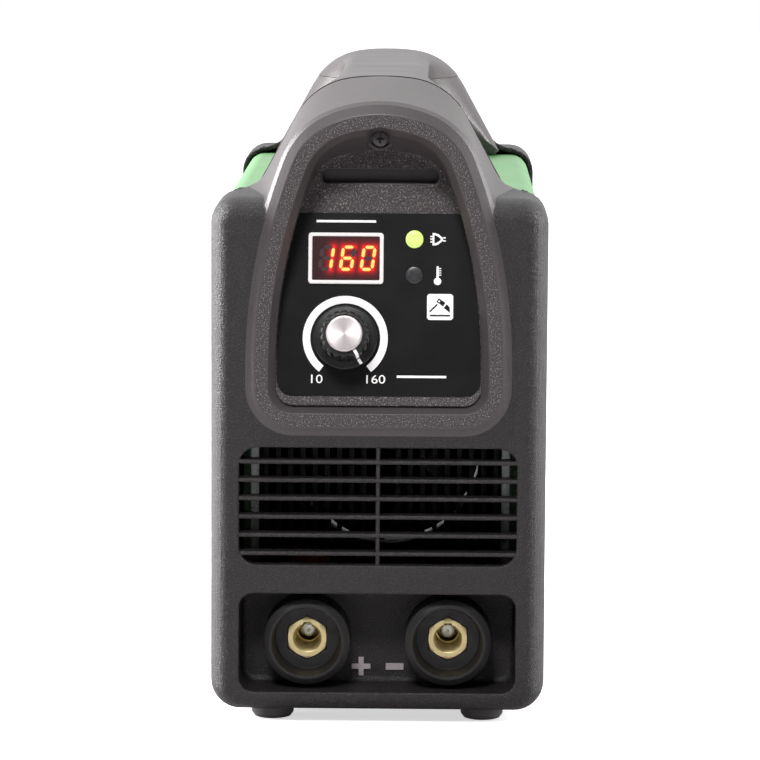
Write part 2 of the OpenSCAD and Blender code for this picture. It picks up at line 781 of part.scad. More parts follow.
module fan_frame() color("#262627") {
  bearing_h = 11;
  facing_back(0, fan_y0, fan_z) difference() {
    union() {
      difference() {
        translate([-fan_size / 2, -fan_size / 2, 0]) cube([fan_size, fan_size, fan_t]);
        translate([0, 0, -1]) cylinder(r = fan_bore_r, h = fan_t + 2, $fn = 96);
      }
      for (a = [45:90:315])
        rotate([0, 0, a]) translate([16, -2, 0.4]) cube([30, 4, 2]);
      cylinder(r = hub_r, h = 2.8, $fn = 64);
      cylinder(r = 4, h = bearing_h, $fn = 40);
    }
    translate([0, 0, -1]) cylinder(r = 1.56, h = 40, $fn = 32);
    for (x = [-1, 1], y = [-1, 1])
      translate([x * fan_hole_pitch / 2, y * fan_hole_pitch / 2, -1]) cylinder(r = 2.15, h = 40, $fn = 32);
  }
}

module fan_rotor() color("#2e2e30") {
  facing_back(0, fan_y0, fan_z) {
    translate([0, 0, 1]) cylinder(r = 1.5, h = fan_t - 4, $fn = 32);
    difference() {
      translate([0, 0, 3.2]) cylinder(r = hub_r - 0.5, h = fan_t - 5.2, $fn = 64);
      translate([0, 0, 2]) cylinder(r = 6, h = fan_t - 7, $fn = 40);
    }
    intersection() {
      for (i = [0:6])
        rotate([0, 0, i * 360 / 7]) translate([hub_r - 2, 0, fan_t / 2]) rotate([38, 0, 0])
          translate([0, -0.8, -13]) cube([30, 1.6, 26]);
      translate([0, 0, 3.4]) cylinder(r = fan_bore_r - 1.2, h = fan_t - 6, $fn = 96);
    }
  }
}

// A bright wire finger guard, welded rings on four arms
module fan_guard() color("#c4c7c8") {
  wire_r = 0.9;
  facing_back(0, -face_y + wire_r + 0.1, fan_z) {
    for (r = [12, 20, 28, 36, 43])
      rotate_extrude($fn = 72) translate([r, 0]) circle(r = wire_r, $fn = 16);
    for (a = [45:90:315])
      rotate([0, 0, a]) translate([11, 0, 0]) rotate([0, 90, 0]) cylinder(r = wire_r, h = 43, $fn = 16);
    for (a = [45:90:315])
      rotate([0, 0, a]) translate([fan_hole_pitch / sqrt(2), 0, -wire_r]) tube(4.4, 2.3, 1.2);
  }
}

module fan_screws() color("#b8bcbd") {
  for (x = [-1, 1], z = [-1, 1])
    facing_back(x * fan_hole_pitch / 2, -face_y + 1.4, fan_z + z * fan_hole_pitch / 2)
      pan_screw(3.9, 1, 1.9, 22);
}

module switch_housing() color("#1d1d1e") {
  facing_back(switch_x, rear_panel_y, switch_z) difference() {
    union() {
      linear_extrude(height = 2) polygon(round_box(-12.5, 12.5, -16, 16, 1.5));
      translate([-10.8, -14.8, -17]) cube([21.6, 29.6, 17.1]);
    }
    translate([-9, -14, -13]) cube([18, 28, 30]);
    translate([-20, 0, -3]) rotate([0, 90, 0]) cylinder(r = 1.56, h = 40, $fn = 32);
  }
}

// The rocker pivots on its side stubs and rests with its upper half pressed in
module switch_rocker() color("#a32020") {
  facing_back(switch_x, rear_panel_y - 3, switch_z) rotate([rocker_tilt, 0, 0]) {
    rotate([90, 0, 90]) translate([0, 0, -8.7]) linear_extrude(height = 17.4) intersection() {
      circle(r = 13.4, $fn = 72);
      polygon([[-20, 0.5], [-4, -2.5], [4, -2.5], [20, 0.5], [20, 9.8], [0, 5.8], [-20, 9.8]]);
    }
    translate([-10.4, 0, 0]) rotate([0, 90, 0]) cylinder(r = 1.5, h = 20.8, $fn = 32);
  }
}

terminal_y = rear_panel_y - 25.1;

module switch_terminals() color("#c2c4c4") {
  for (x = [-5, 5], z = [-7, 0, 7])
    translate([switch_x + x - 0.4, terminal_y, switch_z + z - 2.4]) cube([0.8, 8, 4.8]);
}

gland_flange_h = 6;

module gland_body() color("#222223") {
  facing_back(gland_x, rear_panel_y, gland_z) difference() {
    union() {
      hexagon(24, gland_flange_h);
      translate([0, 0, -13]) cylinder(r = 10, h = 13.1, $fn = 48);
      translate([0, 0, gland_flange_h - eps]) cylinder(r = 9.4, h = 6, $fn = 48);
    }
    translate([0, 0, -14]) cylinder(r = gland_bore_r, h = 40, $fn = 48);
  }
}

module gland_cap() color("#222223") {
  cap_len = knob_reach - rear_panel_y - gland_flange_h - 0.2;
  facing_back(gland_x, rear_panel_y + gland_flange_h + 0.2, gland_z) difference() {
    union() {
      hexagon(22.5, cap_len * 0.55);
      translate([0, 0, cap_len * 0.5]) cylinder(r1 = 11, r2 = 8, h = cap_len * 0.5, $fn = 64);
    }
    translate([0, 0, -1]) cylinder(r = 9.5, h = 8, $fn = 48);
    cylinder(r = 7, h = 40, $fn = 48);
  }
}

module gland_seal() color("#3a3a3b") {
  cap_len = knob_reach - rear_panel_y - gland_flange_h - 0.2;
  facing_back(gland_x, rear_panel_y + gland_flange_h + 0.2, gland_z) translate([0, 0, 7.1])
    tube(6.95, cable_r, cap_len - 8);
}

module gland_locknut() color("#222223") {
  facing_back(gland_x, rear_panel_y - skin - 5.2, gland_z) difference() {
    hexagon(26, 5);
    translate([0, 0, -1]) cylinder(r = 10.05, h = 9, $fn = 48);
  }
}

module earth_screw() color("#c9a24a") {
  facing_back(0, rear_panel_y + 0.1, earth_z) {
    tube(6.5, 3.05, 1.2);
    translate([0, 0, 1.3]) hexagon(10, 4);
    translate([0, 0, -12]) cylinder(r = 3, h = 17, $fn = 32);
    translate([0, 0, -7.6]) hexagon(10, 5);
  }
}

board_t = 1.6;
post_x = 52;
post_y = [-82, 94];

module power_board() color("#2f6b3d") {
  difference() {
    translate([-56, -88, board_z]) cube([112, 188, board_t]);
    for (x = [-post_x, post_x], y = post_y)
      translate([x, y, board_z - 1]) cylinder(r = 1.7, h = 5, $fn = 32);
  }
}

module board_posts() color("#c2c4c4") {
  floor_z = foot_h + cover_step + 1.35;
  for (x = [-post_x, post_x], y = post_y) translate([x, y, floor_z]) {
    hexagon(6, board_z - floor_z - 0.05);
    translate([0, 0, board_z - floor_z - 1]) cylinder(r = 1.6, h = board_t + 3, $fn = 32);
  }
}

// A finned aluminium extrusion hung under the board, its fins along the airflow
module heatsink(x0) {
  fin_count = 9;
  fin_pitch = 5;
  along_y(-60, 60) {
    translate([x0, 103.4]) square([42, 8]);
    for (i = [0:fin_count - 1])
      translate([x0 + i * fin_pitch, 60.2]) square([2, 43.3]);
  }
}

module heatsink_left() color("#b5babd") {
  heatsink(-48);
}

module heatsink_right() color("#b5babd") {
  heatsink(6);
}

module power_transistors() color("#1c1c1e") {
  for (side = [0, 1], y = [-45, -15, 15, 45]) mirror([side, 0, 0]) {
    translate([48.2, y - 8, 84]) cube([5, 16, 21]);
    for (dy = [-5.4, 0, 5.4]) translate([50, y + dy - 0.6, 104.9]) cube([0.7, 1.2, 7]);
  }
}

module bus_capacitors() color("#20304a") {
  for (x = [-35, 0, 35]) translate([x, 66, board_z + board_t + 0.1]) {
    cylinder(r = 15, h = 42, $fn = 48);
    translate([0, 0, 41.9]) cylinder(r = 13, h = 0.8, $fn = 48);
  }
}

transformer_y = -22;
core_z0 = board_z + board_t + 0.2;

module transformer_core() color("#3b3c3e") {
  translate([-28, transformer_y - 11, core_z0]) difference() {
    cube([56, 22, 46]);
    for (x = [9, 37]) translate([x, -1, 9]) cube([10, 24, 28]);
  }
}

module transformer_winding() color("#d9b13f") {
  translate([0, transformer_y, core_z0 + 9.4]) difference() {
    translate([-18.6, -20, 0]) cube([37.2, 40, 27.2]);
    translate([-9.3, -11.3, -1]) cube([18.6, 22.6, 30]);
  }
}

choke_x = 28;
choke_y = -52;
choke_z = 9;

module choke_core() color("#5a6a4a") {
  translate([choke_x, choke_y, choke_z + 4.2]) tube(23, 12, 18);
}

module choke_winding() color("#b87333") {
  translate([choke_x, choke_y, choke_z]) difference() {
    tube(27, 8, 26.4);
    translate([0, 0, 4]) tube(23.2, 11.8, 18.4);
  }
}

module bridge_rectifier() color("#222224") {
  translate([-44, 68, board_z - 12.2]) {
    difference() {
      cube([28.6, 28.6, 10]);
      translate([14.3, 14.3, -1]) cylinder(r = 2.5, h = 12, $fn = 32);
    }
    for (x = [3, 24], y = [3, 24]) translate([x, y, 9.9]) cube([0.8, 6, 2.2]);
  }
}

module wire(a, b, r) {
  run = b - a;
  length = norm(run);
  translate(a) rotate([0, acos(run[2] / length), atan2(run[1], run[0])])
    cylinder(r = r, h = length, $fn = 16);
}

// Two insulated cores from the gland to the switch, and two on to the power board
module mains_wires() color("#7a4a2a") {
  r = 1.5;
  bend_r = 1.7;
  for (x = [-5, 5]) {
    gland_end = [gland_x + x / 2, 130, gland_z + 3];
    gland_turn = [gland_x + x / 2, 108 - x, gland_z + 3];
    switch_turn = [switch_x + x, 108 - x, switch_z + (x > 0 ? 7 : 0)];
    board_turn = [switch_x + x, 92, switch_z - 7];
    wire(gland_end, gland_turn, r);
    wire(gland_turn, switch_turn, r);
    wire(switch_turn, [switch_turn[0], terminal_y - 0.1, switch_turn[2]], r);
    wire([board_turn[0], terminal_y - 0.1, board_turn[2]], board_turn, r);
    wire(board_turn, [board_turn[0], board_turn[1], board_z + board_t + 0.1], r);
    for (bend = [gland_turn, switch_turn, board_turn])
      translate(bend) sphere(r = bend_r, $fn = 24);
  }
}

module control_ribbon() color("#9a9c9e") {
  board_y = panel_y(150) + 17.2;
  translate([-9, 0, 0]) rotate([90, 0, 90]) linear_extrude(height = 18)
    polygon([[board_y, 148], [board_y + 8, 148], [-78, 116], [-78, board_z + board_t + 0.1],
      [-80, board_z + board_t + 0.1], [-80, 116], [board_y + 7, 146.6], [board_y, 146.6]]);
}

front_housing();
louvre_insert();
rear_housing();
steel_cover();
base_pan();
handle_upper();
handle_lower();
rubber_feet();
panel_overlay();
display_surround();
display_window();
display_module();
power_lamp();
heat_lamp();
knob_body();
knob_cap();
knob_pointer();
pot_shaft();
pot_body();
pot_nut();
control_board();
socket_body_plus();
socket_body_minus();
socket_contact_plus();
socket_contact_minus();
socket_ring_nuts();
socket_bolts();
busbar_plus();
busbar_minus();
polarity_marks();
strap_bars();
handle_screws();
cover_screws();
fan_frame();
fan_rotor();
fan_guard();
fan_screws();
switch_housing();
switch_rocker();
switch_terminals();
gland_body();
gland_cap();
gland_seal();
gland_locknut();
earth_screw();
power_board();
board_posts();
heatsink_left();
heatsink_right();
power_transistors();
bus_capacitors();
transformer_core();
transformer_winding();
choke_core();
choke_winding();
bridge_rectifier();
mains_wires();
control_ribbon();
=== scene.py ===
# %% [markdown]
# # A stick welding inverter
# A carrying-handle welding power source: two moulded end housings with a green sheet-metal cover
# between them, a bridge handle, an arched control panel in front, and a bay with two sockets.
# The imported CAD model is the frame. Its hidden inner parts stay and get finishes; the parts that
# are seen are built again here in finer form, each in the place that the frame gives.

# %% Load the frame
import json
import math

import bmesh
import bpy
from mathutils import Matrix, Vector
from mathutils.geometry import delaunay_2d_cdt

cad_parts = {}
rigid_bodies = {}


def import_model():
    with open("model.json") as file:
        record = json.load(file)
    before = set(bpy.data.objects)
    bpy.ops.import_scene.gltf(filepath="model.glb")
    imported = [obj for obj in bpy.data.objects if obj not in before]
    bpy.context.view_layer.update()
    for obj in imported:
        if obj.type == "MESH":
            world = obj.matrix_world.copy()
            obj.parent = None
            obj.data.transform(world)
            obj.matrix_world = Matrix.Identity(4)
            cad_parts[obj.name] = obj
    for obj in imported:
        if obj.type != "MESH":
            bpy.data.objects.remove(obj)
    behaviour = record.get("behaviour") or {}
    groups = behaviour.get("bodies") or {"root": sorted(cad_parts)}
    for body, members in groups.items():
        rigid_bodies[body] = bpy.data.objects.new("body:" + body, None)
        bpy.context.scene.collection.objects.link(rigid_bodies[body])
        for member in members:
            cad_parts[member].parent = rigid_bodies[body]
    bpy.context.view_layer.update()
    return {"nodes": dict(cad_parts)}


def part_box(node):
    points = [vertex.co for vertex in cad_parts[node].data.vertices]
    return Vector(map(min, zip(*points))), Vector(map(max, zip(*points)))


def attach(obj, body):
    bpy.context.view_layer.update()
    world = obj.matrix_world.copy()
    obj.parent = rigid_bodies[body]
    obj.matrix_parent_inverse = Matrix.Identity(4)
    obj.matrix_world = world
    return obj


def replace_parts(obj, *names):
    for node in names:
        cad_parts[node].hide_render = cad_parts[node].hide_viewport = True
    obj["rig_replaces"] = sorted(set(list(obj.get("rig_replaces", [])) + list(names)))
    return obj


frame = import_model()
cad = frame["nodes"]
scene = bpy.context.scene

# %% [markdown]
# ## Sizes
# Every length below is in millimetres, as on the workshop drawing, and becomes metres only when a
# mesh is made. The outer sizes are read from the frame, so the looks can't drift from the CAD.

# %% Sizes of the machine
MM = 0.001


def box_of(node):
    """The two corners of a CAD node, in millimetres."""
    low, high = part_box(node)
    return low / MM, high / MM


case_low, case_high = box_of("front_housing")
HALF_W = case_high.x
RIM_Y = case_low.y
SEAM_Y = case_high.y
CASE_Z = case_low.z
CROWN_TOP = case_high.z
FACE_Y = RIM_Y + 2.5
SHOULDER_Z = 205.0
TILT = math.radians(12.5)
PANEL_Z = 128.8
PANEL_Y = RIM_Y + 4
print(f"case: {2 * HALF_W:.1f} wide, rim at y {RIM_Y:.1f}, seam at y {SEAM_Y:.1f}, top at z {CROWN_TOP:.1f}")

# %% [markdown]
# ## Small tools
# A moulded case is easiest to think of as rings of points: each ring is the outline of the case at
# one depth, and a band of faces joins a ring to the next. The flat areas with holes in them, such
# as the face round the louvres, are filled with triangles whose edges follow the outlines.

# %% Outlines


def arc(cx, cz, radius, start, end, steps):
    """Points on an arc, angles in degrees, from start to end."""
    turns = [math.radians(start + (end - start) * i / steps) for i in range(steps + 1)]
    return [(cx + radius * math.cos(a), cz + radius * math.sin(a)) for a in turns]


def round_box(x0, x1, z0, z1, radius, steps=6):
    """A rectangle with rounded corners, anticlockwise from its lower right corner."""
    r = radius
    return (arc(x1 - r, z0 + r, r, -90, 0, steps) + arc(x1 - r, z1 - r, r, 0, 90, steps)
            + arc(x0 + r, z1 - r, r, 90, 180, steps) + arc(x0 + r, z0 + r, r, 180, 270, steps))


def both_sides(half):
    """Closes a right-hand half outline, bottom centre to top centre, with its mirror image."""
    return half + [(-x, z) for x, z in reversed(half[1:-1])]


def smooth_step(t):
    """Runs from 0 to 1 with level ends."""
    t = min(max(t, 0.0), 1.0)
    return t * t * (3 - 2 * t)


def inside(point, loops):
    """Even-odd test of a point against several closed outlines."""
    hit = False
    for outline in loops:
        for a, b in zip(outline, outline[1:] + outline[:1]):
            if (a[1] > point[1]) != (b[1] > point[1]):
                if point[0] < a[0] + (point[1] - a[1]) * (b[0] - a[0]) / (b[1] - a[1]):
                    hit = not hit
    return hit


print("a box with rounded corners has", len(round_box(-10, 10, -5, 5, 2)), "points")

# %% The skin: rings, bands and filled flats


class Skin:
    """Points in millimetres and the faces between them, each face with a finish number."""

    def __init__(self):
        self.points = []
        self.faces = []
        self.finish = []

    def ring(self, points):
        first = len(self.points)
        self.points += [tuple(p) for p in points]
        return list(range(first, len(self.points)))

    def face(self, corners, finish=0):
        self.faces.append(tuple(corners))
        self.finish.append(finish)

    def band(self, a, b, finish=0, closed=True):
        """Joins two rings with as many points by a band of four-cornered faces."""
        for i in range(len(a) if closed else len(a) - 1):
            j = (i + 1) % len(a)
            self.face((a[i], a[j], b[j], b[i]), finish)

    def bands(self, rings, finish=0, closed=True):
        """Joins each ring to the next."""
        for a, b in zip(rings, rings[1:]):
            self.band(a, b, finish, closed)

    def loft(self, outlines, finish=0, closed=True):
        """Makes a ring of each outline and joins them in turn."""
        rings = [self.ring(points) for points in outlines]
        self.bands(rings, finish, closed)
        return rings

    def fill(self, outer, holes=(), finish=0, axes=(0, 2)):
        """Fills a flat between closed rings, seen along the axis that isn't named."""
        loops = [list(outer)] + [list(hole) for hole in holes]
        order = [i for loop in loops for i in loop]
        seen = [[tuple(self.points[i][axis] for axis in axes) for i in loop] for loop in loops]
        edges = []
        for loop in loops:
            first = len(edges)
            edges += [(first + k, first + (k + 1) % len(loop)) for k in range(len(loop))]
        flat = [Vector(p) for loop in seen for p in loop]
        places, _, triangles, source, _, _ = delaunay_2d_cdt(flat, edges, [], 0, 1e-6)
        for triangle in triangles:
            centre = sum((places[v] for v in triangle), Vector((0, 0))) / 3
            if inside(centre, seen):
                self.face([order[source[v][0]] for v in triangle], finish)


def cap_fan(skin, ring, centre, finish=0):
    """Closes a ring with triangles to one middle point."""
    middle = skin.ring([centre])[0]
    for i in range(len(ring)):
        skin.face((ring[i], ring[(i + 1) % len(ring)], middle), finish)


# %% From skin to piece


def plain(piece):
    """Turns what a piece's modifiers show into its own mesh, and removes them."""
    graph = bpy.context.evaluated_depsgraph_get()
    shown = bpy.data.meshes.new_from_object(piece.evaluated_get(graph), preserve_all_data_layers=True,
                                            depsgraph=graph)
    piece.modifiers.clear()
    piece.data = shown
    return piece


def build(skin, name, finishes, wall=0.0, sharp=38, place=None):
    """Makes a piece of a skin: welded, facing out, walled if asked, with soft edges left smooth."""
    points = skin.points if place is None else [place(*p) for p in skin.points]
    mesh = bpy.data.meshes.new(name)
    mesh.from_pydata([Vector(p) * MM for p in points], [], skin.faces)
    for finish in finishes:
        mesh.materials.append(finish)
    mesh.polygons.foreach_set("material_index", skin.finish)
    work = bmesh.new()
    work.from_mesh(mesh)
    bmesh.ops.remove_doubles(work, verts=work.verts, dist=0.002 * MM)
    bmesh.ops.dissolve_degenerate(work, edges=work.edges, dist=0.0005 * MM)
    bmesh.ops.recalc_face_normals(work, faces=work.faces)
    work.to_mesh(mesh)
    work.free()
    piece = bpy.data.objects.new(name, mesh)
    scene.collection.objects.link(piece)
    if wall:
        thickness = piece.modifiers.new("wall", "SOLIDIFY")
        thickness.thickness = wall * MM
        thickness.offset = -1
        plain(piece)
    piece.data.shade_smooth()
    piece.data.set_sharp_from_angle(angle=math.radians(sharp))
    weighted = piece.modifiers.new("flats", "WEIGHTED_NORMAL")
    weighted.keep_sharp = True
    return plain(piece)


def join(name, pieces):
    """Makes one piece of several."""
    work = bmesh.new()
    finishes = []
    for piece in pieces:
        first = len(work.faces)
        work.from_mesh(piece.data)
        numbers = []
        for finish in piece.data.materials:
            if finish not in finishes:
                finishes.append(finish)
            numbers.append(finishes.index(finish))
        work.faces.ensure_lookup_table()
        for face in work.faces[first:]:
            face.material_index = numbers[face.material_index]
    mesh = bpy.data.meshes.new(name)
    work.to_mesh(mesh)
    work.free()
    for finish in finishes:
        mesh.materials.append(finish)
    for piece in pieces:
        bpy.data.objects.remove(piece)
    whole = bpy.data.objects.new(name, mesh)
    scene.collection.objects.link(whole)
    whole.data.shade_smooth()
    whole.data.set_sharp_from_angle(angle=math.radians(38))
    weighted = whole.modifiers.new("flats", "WEIGHTED_NORMAL")
    weighted.keep_sharp = True
    return plain(whole)


def seat(piece, body, slot, *nodes):
    """Fixes a piece to its body and names the CAD nodes that it stands for; slot is not used."""
    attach(piece, body)
    if nodes:
        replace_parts(piece, *nodes)
    size = " x ".join(f"{d / MM:.1f}" for d in piece.dimensions)
    print(f"{piece.name}: {len(piece.data.polygons)} faces, {size} mm, rides on {body}")
    return piece


print("tools ready")

# %% [markdown]
# ## Finishes
# Each finish starts from what the real material is and how its surface was made. One function
# turns a workshop colour into the linear numbers that Blender needs, and one adds a node. The
# patterns read Object coordinates, which are metres in the machine's own frame, so a grain of half
# a millimetre is a noise whose scale is 1 divided by 0.0005.

# %% Colour, node and pattern helpers


def linear(hex_colour):
    """An sRGB hex colour as the linear red, green, blue and alpha that sockets take."""
    parts = [int(hex_colour[i:i + 2], 16) / 255 for i in (1, 3, 5)]
    return (*(p / 12.92 if p <= 0.04045 else ((p + 0.055) / 1.055) ** 2.4 for p in parts), 1.0)


def add(tree, kind, sockets=None, **settings):
    """Adds a node with its settings; a node or an output in sockets is linked, the rest are values."""
    node = tree.nodes.new(kind)
    for setting, value in settings.items():
        setattr(node, setting, value)
    for socket, value in (sockets or {}).items():
        if isinstance(value, bpy.types.Node):
            value = value.outputs[0]
        if isinstance(value, bpy.types.NodeSocket):
            tree.links.new(value, node.inputs[socket])
        else:
            node.inputs[socket].default_value = value
    return node


def grain(size_mm):
    """The scale of a noise whose spots are about this many millimetres across."""
    return 1.0 / (size_mm * MM)


def new_finish(name):
    """An empty material and its node tree."""
    finish = bpy.data.materials.new(name)
    finish.use_nodes = True
    finish.node_tree.nodes.clear()
    return finish, finish.node_tree


def blend_colours(tree, factor, first, second):
    """The output of a colour mix."""
    mix = add(tree, "ShaderNodeMix", {0: factor, 6: first, 7: second}, data_type="RGBA")
    return mix.outputs[2]


print("grey of the case:", [round(c, 4) for c in linear("#3d3939")[:3]])

# %% A general moulded, plated or painted finish


def common_finish(name, light, dark, spot_mm, rough, bump_mm=0.0, bump_spot_mm=0.5, metallic=0.0,
                  ior=1.5, streak=(1, 1, 1), painted_glow=0.0):
    """Two tones that drift over spots of one size, a roughness that follows them, and fine bumps."""
    finish, tree = new_finish(name)
    place = add(tree, "ShaderNodeTexCoord").outputs["Object"]
    run = add(tree, "ShaderNodeMapping", {"Vector": place, "Scale": streak})
    drift = add(tree, "ShaderNodeTexNoise", {"Vector": run, "Scale": grain(spot_mm), "Detail": 4.0})
    tone = blend_colours(tree, drift.outputs[0], linear(dark), linear(light))
    smear = add(tree, "ShaderNodeMapRange", {0: drift.outputs[0], 1: 0.3, 2: 0.7, 3: rough[0], 4: rough[1]})
    shader = add(tree, "ShaderNodeBsdfPrincipled", {"Base Color": tone, "Roughness": smear,
                                                   "Metallic": metallic})
    if not metallic:
        shader.inputs["IOR"].default_value = ior
    # A painted glow: the finish gives off its own tone, so it looks brighter than its lighting allows.
    if painted_glow:
        tree.links.new(tone, shader.inputs["Emission Color"])
        shader.inputs["Emission Strength"].default_value = painted_glow
    if bump_mm:
        bits = add(tree, "ShaderNodeTexNoise", {"Vector": run, "Scale": grain(bump_spot_mm), "Detail": 3.0})
        bumps = add(tree, "ShaderNodeBump", {"Height": bits.outputs[0], "Distance": bump_mm * MM})
        tree.links.new(bumps.outputs[0], shader.inputs["Normal"])
    add(tree, "ShaderNodeOutputMaterial", {"Surface": shader})
    return finish


print("common finish ready")

# %% [markdown]
# The case is ABS moulded in a tool whose walls were spark-eroded. Each crater of the tool leaves a
# bump, and the bright specks where light catches the crests are painted as pale glints on a dark
# grey ground. The hood and the bevels come from a finer part of the tool and look smoother. The rim
# and the panel come from the coarsest part. All three are one plastic: the grain, the bumps and the
# share of painted glints differ, and the satin and coarse finishes get paler grounds as painted light.

# %% Spark-textured and satin ABS


def moulded_abs(name, ground, glint_tone, grain_mm, bump_mm, rough, glint_share):
    """A dark ground with painted glints on its crests, bumps of one grain, and a gloss that varies with
    handling.
    """
    finish, tree = new_finish(name)
    place = add(tree, "ShaderNodeTexCoord").outputs["Object"]
    craters = add(tree, "ShaderNodeTexNoise", {"Vector": place, "Scale": grain(grain_mm), "Detail": 1.5,
                                               "Roughness": 0.6})
    # Painted glints: the crests of the craters get a paler tone where light would catch them.
    painted_glints = add(tree, "ShaderNodeMapRange",
                 {0: craters.outputs[0], 1: 0.55, 2: 0.72, 3: 0.0, 4: glint_share})
    handling = add(tree, "ShaderNodeTexNoise", {"Vector": place, "Scale": grain(38), "Detail": 5.0})
    body_tone = blend_colours(tree, handling.outputs[0], linear(ground[0]), linear(ground[1]))
    tone = blend_colours(tree, painted_glints, body_tone, linear(glint_tone))
    worn = add(tree, "ShaderNodeMapRange", {0: handling.outputs[0], 1: 0.3, 2: 0.7, 3: rough[0], 4: rough[1]})
    bumps = add(tree, "ShaderNodeBump", {"Height": craters.outputs[0], "Distance": bump_mm * MM})
    shader = add(tree, "ShaderNodeBsdfPrincipled", {"Base Color": tone, "Roughness": worn, "IOR": 1.53,
                                                   "Normal": bumps})
    add(tree, "ShaderNodeOutputMaterial", {"Surface": shader})
    return finish


# The craters are about 0.3 mm wide; they are drawn at 0.5 mm, so that they can be seen.
# The pale glint tones are painted highlights; the coarse and satin grounds are painted lighter for the light
# from above.
spark_abs = moulded_abs("spark_textured_abs", ("#1a1718", "#201d1e"), "#7a7172", 0.5, 0.42, (0.4, 0.48), 0.38)
coarse_abs_painted_light = moulded_abs("coarse_textured_abs_painted_light", ("#3b3637", "#443f40"), "#a89fa0", 0.5, 0.5,
                         (0.36, 0.44), 1.0)
satin_abs_painted_light = moulded_abs("satin_abs_painted_light", ("#454041", "#4e494a"), "#6d6768", 0.7, 0.06, (0.38, 0.46), 0.3)
print("case finishes:", spark_abs.name, satin_abs_painted_light.name)

# %% [markdown]
# The remaining plastics, metals and rubber follow. None of them is mirror-bright: zinc plate is
# cloudy, powder coat has a faint orange peel, rubber is dull, and the film and the rocker are the
# glossiest plastics. White ink and white ABS get a painted glow, an emission that makes them a little
# brighter than the light that falls on them.

# %% Finishes of the outer parts
powder_green = common_finish("light_green_powder_coat", "#6c9b6a", "#679665", 30, (0.42, 0.55), 0.05, 1.2)
moulded_rubber = common_finish("moulded_rubber", "#6a6667", "#5a5657", 6, (0.75, 0.9), 0.06, 0.6)
label_film = common_finish("printed_polyester_film", "#131212", "#0f0e0f", 25, (0.26, 0.34), 0.01, 0.9,
                           ior=1.45)
white_ink = common_finish("screen_printed_white_ink", "#f7f5f5", "#ecebea", 5, (0.45, 0.6), 0.02, 0.5,
                          painted_glow=0.35)
white_abs = common_finish("white_abs", "#f2efee", "#e6e3e2", 12, (0.35, 0.45), 0.02, 0.8, painted_glow=0.3)
pad_print = common_finish("pad_printed_grey_mark", "#c2b9bb", "#aca3a5", 2, (0.5, 0.65), 0.03, 0.4)
phenolic = common_finish("black_moulded_knob", "#161515", "#0f0e0e", 4, (0.38, 0.5), 0.03, 0.5)
socket_nylon = common_finish("glass_filled_nylon", "#1d1b1c", "#151314", 3, (0.42, 0.58), 0.04, 0.45)
zinc_plate = common_finish("bright_zinc_plate", "#e2e6e6", "#c3c9ca", 2.5, (0.25, 0.45), 0.02, 0.6,
                           metallic=1.0)
black_oxide = common_finish("black_oxide_steel", "#565354", "#3f3c3d", 1.2, (0.3, 0.5), 0.02, 0.4)
nickel_wire = common_finish("nickel_plated_wire", "#d4d2cd", "#aaa7a2", 3, (0.15, 0.3), metallic=1.0)
rocker_red = common_finish("red_polycarbonate", "#b3261c", "#9c1f17", 8, (0.2, 0.32), 0.01, 0.8, ior=1.58)
gland_nylon = common_finish("black_nylon", "#252424", "#1a1919", 5, (0.4, 0.55), 0.04, 0.7)
fan_pbt = common_finish("black_fan_plastic", "#232324", "#171718", 6, (0.4, 0.55), 0.03, 0.5)
print("outer finishes:", powder_green.name, "and others")

# %% Finishes of the inner parts
inner_finishes = {
    "rolled_copper": common_finish("rolled_copper", "#c77f57", "#a5613e", 4, (0.25, 0.45), metallic=1.0),
    "green_circuit_board": common_finish("green_circuit_board", "#2c6b3f", "#1f5230", 7, (0.3, 0.45), 0.03,
                                         1.5),
    "black_epoxy": common_finish("black_epoxy", "#1f1f21", "#151517", 2, (0.45, 0.6), 0.03, 0.4),
    "blue_capacitor_sleeve": common_finish("blue_capacitor_sleeve", "#24365c", "#1b2947", 9, (0.25, 0.35)),
    "sintered_ferrite": common_finish("sintered_ferrite", "#47474a", "#38383a", 2, (0.55, 0.75), 0.05, 0.5),
    "winding_tape": common_finish("yellow_winding_tape", "#d8b545", "#c39d33", 6, (0.25, 0.4), 0.05, 2),
    "wire_insulation": common_finish("brown_wire_insulation", "#7b4b2c", "#663c21", 5, (0.4, 0.5)),
    "grey_ribbon": common_finish("grey_ribbon_cable", "#a3a4a6", "#8d8f91", 1.3, (0.4, 0.5),
                                 streak=(1, 0.1, 0.1)),
}
print("inner finishes:", len(inner_finishes))

# %% [markdown]
# ## The end housings
# From the side a housing is a box with soft edges. From the front its outline is a box below and a
# crown above, with a fillet where they meet. The crown belongs to the handle's root at the seam
# and shrinks forwards into the rim of the arched panel. So every ring of the skin is a mixture of
# two outlines: the arch in front and the crown behind, and the fillet between hood and shoulder
# grows from almost nothing at the face to 14 mm at the seam.

# %% The crown at the seam and the arch in front
CROWN_R, HAUNCH_R, HAUNCH_A, SLANT_A = 90, 28, 82, 28.5
SLANT = math.radians(SLANT_A)
CROWN_Z = CROWN_TOP - CROWN_R
HAUNCH_X = (CROWN_R - HAUNCH_R) * math.cos(math.radians(HAUNCH_A))
HAUNCH_Z = CROWN_Z + (CROWN_R - HAUNCH_R) * math.sin(math.radians(HAUNCH_A))
SLANT_REACH = HAUNCH_X * math.cos(SLANT) + HAUNCH_Z * math.sin(SLANT) + HAUNCH_R
HAUNCH_START_Z = HAUNCH_Z + HAUNCH_R * math.sin(SLANT)

